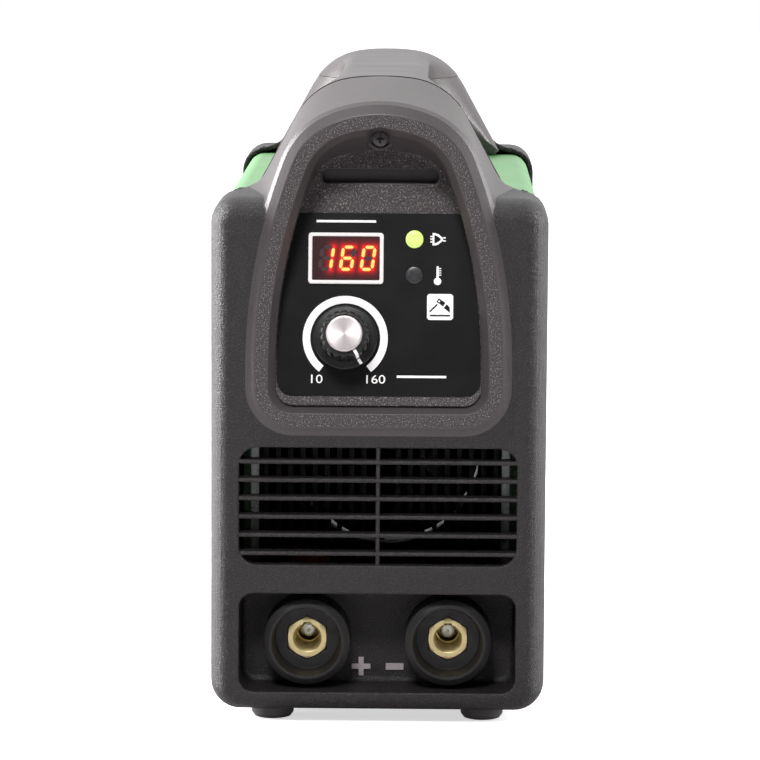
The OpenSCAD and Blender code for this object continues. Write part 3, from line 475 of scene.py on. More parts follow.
ARCH_Z0, ARCH_Z1 = 117.1, 237.3
RIM_CROWN_R, RIM_HAUNCH_R, RIM_HAUNCH_A, RIM_SIDE_R, RIM_SIDE_A, RIM_CORNER_R = 48, 27, 68, 220, 21, 15
RIM_CROWN_Z = ARCH_Z1 - RIM_CROWN_R
RIM_HAUNCH_X = (RIM_CROWN_R - RIM_HAUNCH_R) * math.cos(math.radians(RIM_HAUNCH_A))
RIM_HAUNCH_Z = RIM_CROWN_Z + (RIM_CROWN_R - RIM_HAUNCH_R) * math.sin(math.radians(RIM_HAUNCH_A))
RIM_SIDE_X = RIM_HAUNCH_X - (RIM_SIDE_R - RIM_HAUNCH_R) * math.cos(math.radians(RIM_SIDE_A))
RIM_SIDE_Z = RIM_HAUNCH_Z - (RIM_SIDE_R - RIM_HAUNCH_R) * math.sin(math.radians(RIM_SIDE_A))
RIM_HALF_W = RIM_SIDE_X + RIM_SIDE_R

LOW_Z = 185
LOW_A = math.degrees(math.asin((LOW_Z - RIM_SIDE_Z) / RIM_SIDE_R))
ROUND_IN, ROUND_BACK = 8.0, 11.0
SHOULDER_R = 10.0
SOFT_EDGE = 0.35
LOW_CORNER_R, LEAST_R = 11.5, 1.5
EDGE_ROLL, ROLL_LENGTH = 0.5, 3.2
BOTTOM_SHARE = 0.7
BEVEL_OUT = 3.6
FACE_FILLET_R, SEAM_FILLET_R = 1.2, 14.0
RIDGE_OUT = 1.4
RIDGE_Y = FACE_Y + 2.5
SIDE_STEPS, HAUNCH_STEPS, CROWN_STEPS = 4, 10, 14


def hood_side(u, grow, back):
    """A point of the hood's side: u from low down to the haunch, back from the arch to the crown."""
    a = math.radians(LOW_A + (RIM_SIDE_A - LOW_A) * u)
    front = Vector((RIM_SIDE_X + (RIM_SIDE_R + grow) * math.cos(a),
                    RIM_SIDE_Z + (RIM_SIDE_R + grow) * math.sin(a)))
    z = LOW_Z + (HAUNCH_START_Z - LOW_Z) * u
    seam = Vector(((SLANT_REACH - z * math.sin(SLANT)) / math.cos(SLANT), z))
    return front.lerp(seam, back)


def hood_top(grow, back):
    """The haunch and the crown above the side, as points that move from the arch to the crown."""
    front = (arc(RIM_HAUNCH_X, RIM_HAUNCH_Z, RIM_HAUNCH_R + grow, RIM_SIDE_A, RIM_HAUNCH_A, HAUNCH_STEPS)
             + arc(0, RIM_CROWN_Z, RIM_CROWN_R + grow, RIM_HAUNCH_A, 90, CROWN_STEPS)[1:])
    seam = (arc(HAUNCH_X, HAUNCH_Z, HAUNCH_R, SLANT_A, HAUNCH_A, HAUNCH_STEPS)
            + arc(0, CROWN_Z, CROWN_R, HAUNCH_A, 90, CROWN_STEPS)[1:])
    return [tuple(Vector(a).lerp(Vector(b), back)) for a, b in zip(front, seam)][1:]


def fillet_foot(grow, back, shoulder, radius):
    """Where a fillet of that radius touches the hood's side: u, the fillet's centre, its end angle."""
    low, high = 0.0, 1.0
    for _ in range(40):
        u = (low + high) / 2
        step = hood_side(u + 0.001, grow, back) - hood_side(u - 0.001, grow, back)
        out = Vector((step.y, -step.x)).normalized()
        touch = hood_side(u, grow, back)
        if touch.y + radius * out.y < shoulder + radius:
            low = u
        else:
            high = u
    return u, touch + radius * out, 180 + math.degrees(math.atan2(out.y, out.x))


def side_run(u, grow, back):
    """The hood's side above the fillet."""
    return [tuple(hood_side(u + (1 - u) * k / SIDE_STEPS, grow, back)) for k in range(1, SIDE_STEPS + 1)]


def housing_outline(y):
    """The right-hand half outline of the housing at one depth, bottom centre to crown centre."""
    t = min(max((y - FACE_Y) / ROUND_BACK, 0.0), 1.0)
    inset = ROUND_IN * (1 - math.sqrt(1 - (1 - t) ** 2))
    back = min(max((y - RIDGE_Y) / (SEAM_Y - RIDGE_Y), 0.0), 1.0)
    grow = BEVEL_OUT + RIDGE_OUT * min((y - FACE_Y) / (RIDGE_Y - FACE_Y), 1.0)
    shoulder = SHOULDER_Z - inset
    radius = FACE_FILLET_R + (SEAM_FILLET_R - FACE_FILLET_R) * back
    u, centre, end = fillet_foot(grow, back, shoulder, radius)
    low_r, high_r = max(LOW_CORNER_R - inset, LEAST_R), max(SHOULDER_R - inset, LEAST_R)
    edge = HALF_W - inset
    bottom = CASE_Z + BOTTOM_SHARE * inset
    return ([(0, bottom)] + arc(edge - low_r, bottom + low_r, low_r, -90, 0, 8)
            + arc(edge - high_r, shoulder - high_r, high_r, 0, 90, 6) + arc(*centre, radius, 270, end, 8)
            + side_run(u, grow, back) + hood_top(grow, back))


FOOT_INDEX = 1 + 9 + 7 + 9 - 1
print(f"arch {2 * RIM_HALF_W:.1f} wide; fillet meets the hood at step {FOOT_INDEX}")

# %% The arch, grown or shrunk
FACE_U = fillet_foot(BEVEL_OUT, 0.0, SHOULDER_Z - ROUND_IN, FACE_FILLET_R)[0]
FACE_A = LOW_A + (RIM_SIDE_A - LOW_A) * FACE_U
ARCH_FOOT_INDEX = 1 + 9 + 11 - 1


def arch_outline(grow):
    """The right-hand half outline of the control arch, grown by some millimetres."""
    return ([(0, ARCH_Z0 - grow)]
            + arc(RIM_HALF_W - RIM_CORNER_R, ARCH_Z0 + RIM_CORNER_R, RIM_CORNER_R + grow, -90, 0, 8)
            + arc(RIM_SIDE_X, RIM_SIDE_Z, RIM_SIDE_R + grow, 0, FACE_A, 10)
            + side_run(FACE_U, grow, 0.0) + hood_top(grow, 0.0))


def at_depth(half, depth):
    """A closed ring of points from a half outline; depth is a y, or gives one for each height."""
    find = depth if callable(depth) else (lambda z: depth)
    return [(x, find(z), z) for x, z in both_sides(half)]


def panel_y(z):
    """How deep the tilted panel lies at one height."""
    return PANEL_Y + (z - PANEL_Z) * math.tan(TILT)


print("arch outline:", len(both_sides(arch_outline(0))), "points")

# %% [markdown]
# The screwdriver has to reach the screw at the top of the arch, so the tool leaves a round notch
# in the rim's inner lip there. Points of the lip that fall inside the notch are pushed out to its
# circle. The wall above the panel leans, so that the moulding can leave its tool.

# %% Lip notch and drafted wall
SCREW_Z = 228
NOTCH_R = 4.7
WELL_IN = 8.0
TOP_DRAFT = 6.8


def notched(half):
    """Pushes the lip's points out of the screwdriver's way."""
    out = []
    for x, z in half:
        if abs(x) < NOTCH_R and z > SCREW_Z - 1:
            z = max(z, SCREW_Z + math.sqrt(NOTCH_R ** 2 - x ** 2))
        out.append((x, z))
    return out


def drafted(half):
    """Lowers the crown of the well where its wall meets the panel."""
    out = []
    for x, z in half:
        lean = max(0.0, (z - RIM_CROWN_Z) / (ARCH_Z1 - WELL_IN - RIM_CROWN_Z))
        out.append((x, z - TOP_DRAFT * lean ** 1.5))
    return out


print(f"well top falls from z {ARCH_Z1 - WELL_IN:.1f} to {drafted([(0, ARCH_Z1 - WELL_IN)])[0][1]:.1f}")

# %% The shared skin of a housing


def quarter(steps):
    """Sine and cosine pairs of a quarter turn, for a rounded edge."""
    return [(math.sin(math.pi / 2 * i / steps), math.cos(math.pi / 2 * i / steps)) for i in range(steps + 1)]


def opening(skin, outline, deep, lip=0.8):
    """Rolls the face over into an opening; outline(g) is the opening grown by g. Gives the two end rings."""
    rings = [skin.ring([(x, FACE_Y + lip * (1 - c), z) for x, z in outline(lip * (1 - s))])
             for s, c in quarter(3)]
    skin.bands(rings, 0)
    inner = skin.ring([(x, FACE_Y + deep, z) for x, z in outline(0)])
    skin.band(rings[-1], inner)
    return rings[0], inner


SPARK, SATIN, COARSE = range(3)


def rolled(half, y):
    """Rolls the hood's back edge down a little, so that its joint with the handle shows as a line."""
    drop = EDGE_ROLL * max(0.0, 1 - (SEAM_Y - y) / ROLL_LENGTH) ** 2
    return [(x * (1 - drop / HALF_W), z - drop) if z > SHOULDER_Z + 2 else (x, z) for x, z in half]


def housing_skin(face_holes, panel_holes, panel_depth, draft):
    """Outer skin, face, bevel, rim, well and panel. The hole functions add openings and give their rings."""
    skin = Skin()
    edge_depths = [round(FACE_Y + ROUND_BACK * (1 - c), 3) for _, c in quarter(9)]
    ridge_depths = [RIDGE_Y - 1.2, RIDGE_Y, RIDGE_Y + 1.2]
    hood_depths = [SEAM_Y - 30 + 5.9 * k for k in range(6)] + [SEAM_Y - ROLL_LENGTH, SEAM_Y - 1.8]
    depths = sorted(set(edge_depths + ridge_depths + hood_depths))
    rings = [skin.ring(at_depth(rolled(housing_outline(y), y), y)) for y in depths]
    edge = [(x * (1 - 0.4 / HALF_W), SEAM_Y, z + (SOFT_EDGE if z < 100 else -SOFT_EDGE))
            for x, z in both_sides(rolled(housing_outline(SEAM_Y), SEAM_Y))]
    rings.append(skin.ring(edge))
    count = len(rings[0])
    for a, b in zip(rings, rings[1:]):
        for i in range(count):
            k = min(i, count - i - 1)
            on_hood = k >= FOOT_INDEX - 5
            j = (i + 1) % count
            skin.face((a[i], a[j], b[j], b[i]), SATIN if on_hood else SPARK)
    profile = [(BEVEL_OUT, FACE_Y), (0.5, RIM_Y + 0.32), (0.15, RIM_Y + 0.08), (-0.35, RIM_Y)]
    bevel = [skin.ring(at_depth(arch_outline(g), y)) for g, y in profile]
    skin.bands(bevel, SATIN)
    lip = [(-4.95, RIM_Y), (-5.25, RIM_Y + 0.1), (-5.5, RIM_Y + 0.4), (0.35 - WELL_IN, RIM_Y + 3.7),
           (0.05 - WELL_IN, RIM_Y + 4.1),
           (-WELL_IN, RIM_Y + 4.6)]
    inner = [skin.ring(at_depth(notched(arch_outline(g)), y)) for g, y in lip]
    skin.band(bevel[-1], inner[0], COARSE)
    skin.bands(inner, SATIN)
    well = drafted(arch_outline(-WELL_IN)) if draft else arch_outline(-WELL_IN)
    corner = skin.ring(at_depth(well, lambda z: panel_depth(z) - 0.5))
    skin.band(inner[-1], corner, SATIN)
    floor = skin.ring(at_depth([(x * 0.99, z + (0.4 if z < 180 else -0.4)) for x, z in well],
                               lambda z: panel_depth(z)))
    skin.band(corner, floor, COARSE)
    skin.fill(floor, panel_holes(skin), COARSE)
    first, arch = rings[0], bevel[0]
    outer = (first[:FOOT_INDEX + 1] + arch[ARCH_FOOT_INDEX - 1::-1]
             + arch[:len(arch) - ARCH_FOOT_INDEX:-1] + first[len(first) - FOOT_INDEX:])
    skin.fill(outer, face_holes(skin), SPARK)
    return skin


CASE_FINISHES, WALL = [spark_abs, satin_abs_painted_light, coarse_abs_painted_light], 2.0
print("edge of the face is rounded", ROUND_IN, "in and", ROUND_BACK, "back")

# %% [markdown]
# ### Front housing
# In front the face has the louvre opening and the socket bay. The bay is a tray 22 mm deep with a
# soft inner corner, and its back wall takes the two sockets. The panel has the strap slot, the
# hole for the knob's shaft, the lamp holes and the display's window.

# %% Openings of the front
LOUVRE = (-53.6, 53.6, 62.9, 108.7, 7)
BAY = (-53.5, 53.5, 12.8, 51.5, 5.5)
BAY_DEEP = 22
BAY_BACK_Y = FACE_Y + BAY_DEEP
SOCKET_X, SOCKET_Z = 27.5, 31.5
SLOT = (-22.5, 22.5, 209.6, 214.7, 2)
KNOB = (-13, 150.6)
DISPLAY = (-13, 180.8)
LAMPS = {"power_lamp": 188.3, "heat_lamp": 174.7}
LAMP_X, LAMP_R = 13.4, 3.4


def grown(box, g):
    """A rounded opening, larger by g on every side."""
    x0, x1, z0, z1, radius = box
    return round_box(x0 - g, x1 + g, z0 - g, z1 + g, max(radius + g, 0.3))


def circle(cx, cz, radius, steps=48):
    """A closed circle."""
    return arc(cx, cz, radius, 0, 360, steps)[:-1]


DISPLAY_CUT = round_box(-12.6, 12.6, -7.6, 7.6, 0.5)
SHAFT_CUT = circle(0, 0, 4.8)


def on_panel(x, z, u, v, height):
    """A place on the tilted panel: u across and v up from a point on it, and a height above it."""
    return (x + u, panel_y(z) + v * math.sin(TILT) - height * math.cos(TILT),
            z + v * math.cos(TILT) + height * math.sin(TILT))


def front_face_holes(skin):
    """The louvre opening and the socket bay."""
    louvre, _ = opening(skin, lambda g: grown(LOUVRE, g), 3.2)
    soft = 2.5
    bay, last = opening(skin, lambda g: grown(BAY, g), BAY_DEEP - soft)
    for s, c in quarter(4)[1:]:
        ring = skin.ring([(x, BAY_BACK_Y - soft * (1 - s), z) for x, z in grown(BAY, -soft * (1 - c))])
        skin.band(last, ring)
        last = ring
    holes = [skin.ring([(x, BAY_BACK_Y, z) for x, z in circle(side * SOCKET_X, SOCKET_Z, 14.1)])
             for side in (-1, 1)]
    skin.fill(last, holes)
    return [louvre, bay]


def front_panel_holes(skin):
    """The strap slot, the shaft hole, the lamp holes and the display's window."""
    holes = []
    edge = 0.5
    slot = [skin.ring([(x, panel_y(z) + back, z) for x, z in grown(SLOT, g)])
            for g, back in ((edge, 0), (0.15, 0.15), (0, edge), (0, 3.5))]
    skin.bands(slot, SATIN)
    holes.append(slot[0])
    holes.append(skin.ring([on_panel(*KNOB, u, v, 0) for u, v in SHAFT_CUT]))
    for z in LAMPS.values():
        holes.append(skin.ring([on_panel(LAMP_X, z, u, v, 0) for u, v in circle(0, 0, LAMP_R + 0.2, 32)]))
    holes.append(skin.ring([on_panel(*DISPLAY, u, v, 0) for u, v in DISPLAY_CUT]))
    return holes


front = build(housing_skin(front_face_holes, front_panel_holes, panel_y, True), "front_moulding",
              CASE_FINISHES, wall=WALL)
print("front moulding:", len(front.data.polygons), "faces")

# %% Screw boss at the top of the arch


def spun(skin, profile, steps=64, finish=0, place=None, closed_ends=(False, False)):
    """Turns a profile of (radius, height) pairs round an axis; place(u, v, height) gives the point."""
    rings = []
    for radius, height in profile:
        turn = [(radius * math.cos(2 * math.pi * i / steps), radius * math.sin(2 * math.pi * i / steps))
                for i in range(steps)]
        rings.append(skin.ring([place(u, v, height) for u, v in turn]))
    skin.bands(rings, finish)
    for shut, ring, (radius, height) in zip(closed_ends, (rings[0], rings[-1]), (profile[0], profile[-1])):
        if shut:
            cap_fan(skin, ring, place(0, 0, height), finish)
    return rings


def forward(x, y, z):
    """Placing for something whose axis points to the front, with height 0 at depth y."""
    return lambda u, v, height: (x + u, y - height, z + v)


def backward(x, y, z):
    """The same for an axis that points to the back."""
    return lambda u, v, height: (x - u, y + height, z + v)


def boss(name, place, foot):
    """The sleeve that holds a handle screw."""
    skin = Skin()
    spun(skin, [(5.5, -foot), (5.5, -0.4), (5.4, -0.12), (5.1, 0), (4.6, 0), (4.3, -0.12), (4.2, -0.4),
                (4.2, -3),
                (2.2, -3), (2.2, -foot)], 48, place=place)
    return build(skin, name, [satin_abs_painted_light])


front = join("front_moulding", [front, boss("front_boss", forward(0, -140, SCREW_Z), 9)])
seat(front, "housing", "textured_plastic", "front_housing")

# %% [markdown]
# ### Rear housing
# The rear comes from the same rings, turned round. Its panel stands upright, 12.5 mm behind the
# rim, and carries the mains switch, the cable gland and the earth screw. Below the arch is the
# round fan opening.

# %% Rear housing
FAN_Z = 66
SWITCH = (-17, 172)
GLAND = (19, 168)
EARTH_Z = 141
REAR_PANEL_Y = 144


def rear_face_holes(skin):
    """The round fan opening."""
    fan, _ = opening(skin, lambda g: circle(0, FAN_Z, 43 + g, 96), 2.2)
    return [fan]


def rear_panel_holes(skin):
    """The strap slot and the holes for the switch, the gland and the earth screw."""
    slot = [skin.ring([(x, back - REAR_PANEL_Y, z) for x, z in grown(SLOT, g)])
            for g, back in ((0.5, 0), (0.15, 0.15), (0, 0.5), (0, 2.4))]
    skin.bands(slot, SATIN)
    switch = [(x - SWITCH[0], z + SWITCH[1]) for x, z in round_box(-11, 11, -15, 15, 0.5)]
    cuts = [switch, circle(-GLAND[0], GLAND[1], 10.2), circle(0, EARTH_Z, 3.2, 32)]
    return [slot[0]] + [skin.ring([(x, -REAR_PANEL_Y, z) for x, z in cut]) for cut in cuts]


rear_skin = housing_skin(rear_face_holes, rear_panel_holes, lambda z: -REAR_PANEL_Y, False)
rear = build(rear_skin, "rear_moulding", CASE_FINISHES, wall=WALL, place=lambda x, y, z: (-x, -y, z))
rear = join("rear_moulding", [rear, boss("rear_boss", backward(0, 147, SCREW_Z), 5)])
seat(rear, "housing", "textured_plastic", "rear_housing")

# %% [markdown]
# ## Geometry Nodes for what repeats
# Slats, screws and rings of wire follow a rule, so a node tree makes each of them. A
# tree has one named input for each size. A helper hangs the tree on a seed mesh, sets the inputs
# by their identifiers, and takes the evaluated result as a plain mesh.

# %% Trees and how a piece grows from one
SOCKETS = {"mm": "NodeSocketFloat", "count": "NodeSocketInt", "finish": "NodeSocketMaterial"}


def new_tree(name, **inputs):
    """A tree with a geometry input, the named inputs, and a geometry output."""
    tree = bpy.data.node_groups.new(name, "GeometryNodeTree")
    tree.interface.new_socket("Seed", in_out="INPUT", socket_type="NodeSocketGeometry")
    for label, kind in inputs.items():
        tree.interface.new_socket(label, in_out="INPUT", socket_type=SOCKETS[kind])
    tree.interface.new_socket("Grown", in_out="OUTPUT", socket_type="NodeSocketGeometry")
    return tree, add(tree, "NodeGroupInput").outputs


def end_tree(tree, geometry, finish):
    """Every tree ends the same way: real copies, then their finish."""
    real = add(tree, "GeometryNodeRealizeInstances", {0: geometry})
    painted = add(tree, "GeometryNodeSetMaterial", {0: real, "Material": finish})
    add(tree, "NodeGroupOutput", {0: painted})


def grow(name, tree, seed_points, body, slot, nodes, aims=None, **values):
    """Grows a tree on a cloud of seed points, in millimetres, and seats the result."""
    seed = bpy.data.meshes.new(name)
    seed.from_pydata([Vector(p) * MM for p in seed_points], [], [])
    seed.materials.append(values["Finish"])
    if aims:
        aim = seed.attributes.new("aim", "FLOAT_VECTOR", "POINT")
        aim.data.foreach_set("vector", [c for a in aims for c in Vector(a).normalized()])
    piece = bpy.data.objects.new(name, seed)
    scene.collection.objects.link(piece)
    growth = piece.modifiers.new("growth", "NODES")
    growth.node_group = tree
    for item in tree.interface.items_tree:
        label = item.name
        if item.in_out == "INPUT" and label in values:
            growth[item.identifier] = values[label]
    plain(piece)
    piece.data.set_sharp_from_angle(angle=math.radians(38))
    return seat(piece, body, slot, *nodes)


def maths(tree, operation, a, b=0.0):
    """One sum in a node tree."""
    return add(tree, "ShaderNodeMath", {0: a, 1: b}, operation=operation)


print("tree helpers ready")

# %% [markdown]
# ### Louvres
# The louvre insert is one moulding: a frame behind the opening, six slats across it and a thin rib
# down the middle. A slat is a bar with a round nose, so its profile is a short curve with round
# ends swept across the opening.

# %% Louvre tree
slats, given = new_tree("louvre_slats", Count="count", Pitch="mm", Width="mm", Thickness="mm", Depth="mm",
                        Finish="finish")
heights = add(slats, "GeometryNodeMeshLine", {"Count": given["Count"], "Start Location": (0, 0, 0)})
rise = add(slats, "ShaderNodeCombineXYZ", {"Z": given["Pitch"]})
slats.links.new(rise.outputs[0], heights.inputs["Offset"])
half_width = maths(slats, "MULTIPLY", given["Width"], 0.5)
left_end = add(slats, "ShaderNodeCombineXYZ", {"X": maths(slats, "MULTIPLY", half_width, -1.0)})
right_end = add(slats, "ShaderNodeCombineXYZ", {"X": half_width})
spine = add(slats, "GeometryNodeCurvePrimitiveLine", {"Start": left_end, "End": right_end})
nose = add(slats, "GeometryNodeCurvePrimitiveQuadrilateral",
           {"Width": given["Depth"], "Height": given["Thickness"]})
soft_nose = add(slats, "GeometryNodeFilletCurve", {"Curve": nose, "Count": 3,
                                                   "Radius": maths(slats, "MULTIPLY", given["Thickness"],
                                                                   0.38)},
                mode="POLY")
bar = add(slats, "GeometryNodeCurveToMesh", {"Curve": spine, "Profile Curve": soft_nose, "Fill Caps": True})
rows = add(slats, "GeometryNodeInstanceOnPoints", {"Points": heights, "Instance": bar})
home = add(slats, "GeometryNodeInstanceOnPoints", {"Points": given["Seed"], "Instance": rows})
end_tree(slats, home, given["Finish"])
print("louvre tree:", len(slats.nodes), "nodes")

# %% Louvre insert
SLAT_PITCH = 7.16
grow("louvre_slats", slats, [(0, FACE_Y + 3.9, 67.3)], "housing", "textured_plastic", ["louvre_insert"],
     Count=6, Pitch=SLAT_PITCH * MM, Width=107.6 * MM, Thickness=1.7 * MM, Depth=7.2 * MM, Finish=spark_abs)


def frame_ring(name, outline, y0, y1, border, finish):
    """A flat ring behind an opening, from depth y0 back to y1."""
    skin = Skin()
    soft = 0.2
    rings = skin.loft([[(x, y, z) for x, z in outline(g)] for g, y in
                       ((0, y1), (0, y0 + soft), (soft, y0), (border - soft, y0), (border, y0 + soft),
                        (border, y1))])
    skin.band(rings[-1], rings[0])
    return build(skin, name, [finish])


louvre_frame = frame_ring("louvre_frame", lambda g: grown(LOUVRE, g), FACE_Y + 3.4, FACE_Y + 6, 3, spark_abs)
seat(louvre_frame, "housing", "textured_plastic", "louvre_insert")
rib_skin = Skin()
for end in (0, 1):
    rib_skin.ring([(x, FACE_Y + 0.6 + depth, LOUVRE[2 + end])
                   for x, depth in round_box(-0.85, 0.85, 0, 6.5, 0.6, 3)])
count = len(rib_skin.points) // 2
rib_skin.band(list(range(count)), list(range(count, 2 * count)))
seat(build(rib_skin, "louvre_rib", [spark_abs]), "housing", "textured_plastic", "louvre_insert")

# %% [markdown]
# ## Sheet-metal cover
# The cover is one sheet of 1 mm steel, bent down over both sides and powder coated, so its bends
# are round and its coat has a faint orange peel. It slips 2.2 mm under the housings' edges.

# %% Cover
COVER_STEP = 2.5
COVER_END = SEAM_Y - 2.2


def cover_outline(inset):
    """The cover's section: up one side, over the top and down the other side."""
    half = (arc(HALF_W - SHOULDER_R, SHOULDER_Z - SHOULDER_R, SHOULDER_R - inset, 0, 90, 10)
            + [(x, SHOULDER_Z - inset) for x in (40, 20, 0)])
    side = [(HALF_W - inset, 16.1), (HALF_W - inset, 60), (HALF_W - inset, 120), (HALF_W - inset, 160)]
    right = side + half
    return right + [(-x, z) for x, z in reversed(right[:-1])]


cover_skin = Skin()
stations = [COVER_END, -84, -40, 0, 40, 84, -COVER_END]
cover_skin.loft([[(x, y, z) for x, z in cover_outline(COVER_STEP)] for y in stations], closed=False)
cover = build(cover_skin, "green_cover", [powder_green], wall=1.0)
seat(cover, "housing", "green_powder_coat", "steel_cover")

# %% [markdown]
# ## Handle
# Two satin mouldings make the bridge: an upper one with a broad flat top and a lower one that is
# scooped for the fingers. Both are cut from one swept shape. At a seam its section is the crown of
# the housings; towards the middle it shrinks to a grip 36 mm wide. The top keeps its width longer
# than the sides do, which leaves a crease line that curves in to the waist.

# %% Handle sections
GRIP_Z0, GRIP_Z1 = 228.8, 249.2
GRIP_HALF_W = 18
SPLIT_Z, SPLIT_GAP, SPLIT_SOFT = 238, 0.06, 0.12
TOP_POINTS, UNDER_POINTS = 18, 20
HANDLE_RINGS = 22
ROOT_Y = -SEAM_Y - 0.8
HANDLE_FOOT_Z = SHOULDER_Z - 2.1
ROOT_STEP = 0.1


def handle_outline(y):
    """Right-hand half outline of the whole handle at one depth, bottom centre to top centre."""
    away = ROOT_Y - abs(y)
    low = smooth_step((away - 4) / 34)
    high = 1 - (1 - min(away / 74, 1.0)) ** 2.2
    foot_z = HANDLE_FOOT_Z + (GRIP_Z0 - HANDLE_FOOT_Z) * low
    foot_x = (SLANT_REACH - foot_z * math.sin(SLANT)) / math.cos(SLANT)
    top_z = GRIP_Z1 + (CROWN_TOP - 0.2 - GRIP_Z1) * (1 - high)
    crown = [(0, foot_z), (foot_x, foot_z)] + [tuple(p) for p in arc(HAUNCH_X, HAUNCH_Z, HAUNCH_R - ROOT_STEP,
                                                                     SLANT_A, HAUNCH_A, 9)]
    crown += [(x, z) for x, z in arc(0, CROWN_Z, CROWN_R - ROOT_STEP, HAUNCH_A, 90, 4)[1:]]
    side = [(0, GRIP_Z0)] + [(GRIP_HALF_W - 1.5, GRIP_Z0 + 1.5)]
    top = arc(GRIP_HALF_W - 5, GRIP_Z1 - 5, 5, 0, 84,
              9) + [(GRIP_HALF_W * k, GRIP_Z1 - 0.15 * k) for k in (0.6, 0.4, 0.2, 0)]
    out = []
    for k, (a, b) in enumerate(zip(crown, side + top)):
        share = low if k < 2 else low + (high - low) * min((k - 1) / 7, 1.0)
        out.append(tuple(Vector(a).lerp(Vector(b), share)))
    return [(x, min(z, top_z)) for x, z in out]


def resampled(line, count):
    """The same line with evenly spaced points."""
    spans = [math.dist(a, b) for a, b in zip(line, line[1:])]
    total, out, k, done = sum(spans), [line[0]], 0, 0.0
    for i in range(1, count - 1):
        goal = total * i / (count - 1)
        while done + spans[k] < goal:
            done += spans[k]
            k += 1
        t = (goal - done) / spans[k]
        out.append(tuple(Vector(line[k]).lerp(Vector(line[k + 1]), t)))
    return out + [line[-1]]


def cut_at(half, z):
    """Splits a half outline at a height: the part below with the cut, and the part above."""
    for k in range(1, len(half) - 1):
        (x0, z0), (x1, z1) = half[k], half[k + 1]
        if z0 <= z < z1:
            t = (z - z0) / (z1 - z0)
            cut = (x0 + (x1 - x0) * t, z)
            return half[:k + 1] + [cut], [cut] + half[k + 1:]
    return half, [half[-1]]


def handle_half(name, upper):
    """One of the two mouldings of the handle."""
    skin = Skin()
    depths = [ROOT_Y * math.sin(math.pi / 2 * k / HANDLE_RINGS)
              for k in range(-HANDLE_RINGS, HANDLE_RINGS + 1)]
    rings = []
    for y in depths:
        low, high = cut_at(handle_outline(y), SPLIT_Z if upper else SPLIT_Z - SPLIT_GAP)
        if upper:
            soft = [(high[0][0] - SPLIT_SOFT, high[0][1]), (high[0][0], high[0][1] + SPLIT_SOFT)]
            half = [(0, SPLIT_Z)] + soft[:1] + resampled([soft[1]] + high[1:], TOP_POINTS)
        else:
            end = low[-1]
            half = resampled(low[:-1] + [(end[0], end[1] - SPLIT_SOFT)],
                             UNDER_POINTS) + [(end[0] - SPLIT_SOFT, end[1]), (0, end[1])]
        rings.append(skin.ring([(x, y, z) for x, z in both_sides(half)]))
    skin.bands(rings)
    for ring in (rings[0], rings[-1]):
        skin.fill(ring)
    return build(skin, name, [satin_abs_painted_light], sharp=50)


seat(handle_half("handle_top", True), "housing", "smooth_plastic", "handle_upper")
seat(handle_half("handle_under", False), "housing", "smooth_plastic", "handle_lower")

# %% [markdown]
# ## Feet and screws
# Each foot is a rubber button with a rounded rim. The screws are pan heads with a cross recess:
# a small tree domes a cylinder, cuts the cross with two thin boxes, adds the shank and sets one
# screw on every seed point, turned towards that point's own direction.

# %% Feet
feet_skin = Skin()
foot_profile = [(0.01, 0), (6.4, 0), (7.1, 0.2), (7.6, 0.9), (8.0, 1.4), (8.25, 1.9), (8.25, 4.3), (8.0, 4.6),
                (0.01, 4.6)]
for x in (-41, 41):
    for y in (-136.7, 136.7):
        spun(feet_skin, foot_profile, 48, place=lambda u, v, h, x=x, y=y: (x + u, y + v, h))
seat(build(feet_skin, "feet", [moulded_rubber]), "housing", "foot_rubber", "rubber_feet")

# %% Screw tree
screws, given = new_tree("cross_recess_screws", Head_Radius="mm", Head_Height="mm", Shank_Radius="mm",
                         Shank_Length="mm", Finish="finish")


def drawn_cylinder(tree, radius, depth, lift, sides):
    """A cylinder in a tree, moved along its axis."""
    tube = add(tree, "GeometryNodeMeshCylinder",
               {"Vertices": sides, "Side Segments": 1, "Radius": radius, "Depth": depth})
    shift = add(tree, "ShaderNodeCombineXYZ", {"Z": lift})
    return add(tree, "GeometryNodeTransform", {"Geometry": tube, "Translation": shift})


head_h, head_r = given["Head_Height"], given["Head_Radius"]
lower = drawn_cylinder(screws, head_r, maths(screws, "MULTIPLY", head_h, 0.5),
                       maths(screws, "MULTIPLY", head_h, 0.25), 32)
dome = add(screws, "GeometryNodeMeshUVSphere", {"Segments": 32, "Rings": 16, "Radius": head_r})
flat_dome = add(screws, "GeometryNodeTransform", {
    "Geometry": dome, "Scale": add(screws, "ShaderNodeCombineXYZ", {
        "X": 1.0, "Y": 1.0, "Z": maths(screws, "DIVIDE", maths(screws, "MULTIPLY", head_h, 0.5), head_r)}),
    "Translation": add(screws, "ShaderNodeCombineXYZ", {"Z": maths(screws, "MULTIPLY", head_h, 0.5)})})
cross_l = maths(screws, "MULTIPLY", head_r, 1.15)
cross_w = maths(screws, "MULTIPLY", head_r, 0.24)
cuts = []
for first, second in ((cross_l, cross_w), (cross_w, cross_l)):
    size = add(screws, "ShaderNodeCombineXYZ", {"X": first, "Y": second, "Z": head_h})
    blade = add(screws, "GeometryNodeMeshCube", {"Size": size})
    lift = add(screws, "ShaderNodeCombineXYZ", {"Z": maths(screws, "MULTIPLY", head_h, 0.95)})
    cuts.append(add(screws, "GeometryNodeTransform", {"Geometry": blade, "Translation": lift}))
head = add(screws, "GeometryNodeMeshBoolean", {"Mesh 2": lower}, operation="UNION")
screws.links.new(flat_dome.outputs[0], head.inputs["Mesh 2"])
cut_head = add(screws, "GeometryNodeMeshBoolean", {"Mesh 1": head, "Mesh 2": cuts[0]}, operation="DIFFERENCE")
screws.links.new(cuts[1].outputs[0], cut_head.inputs["Mesh 2"])
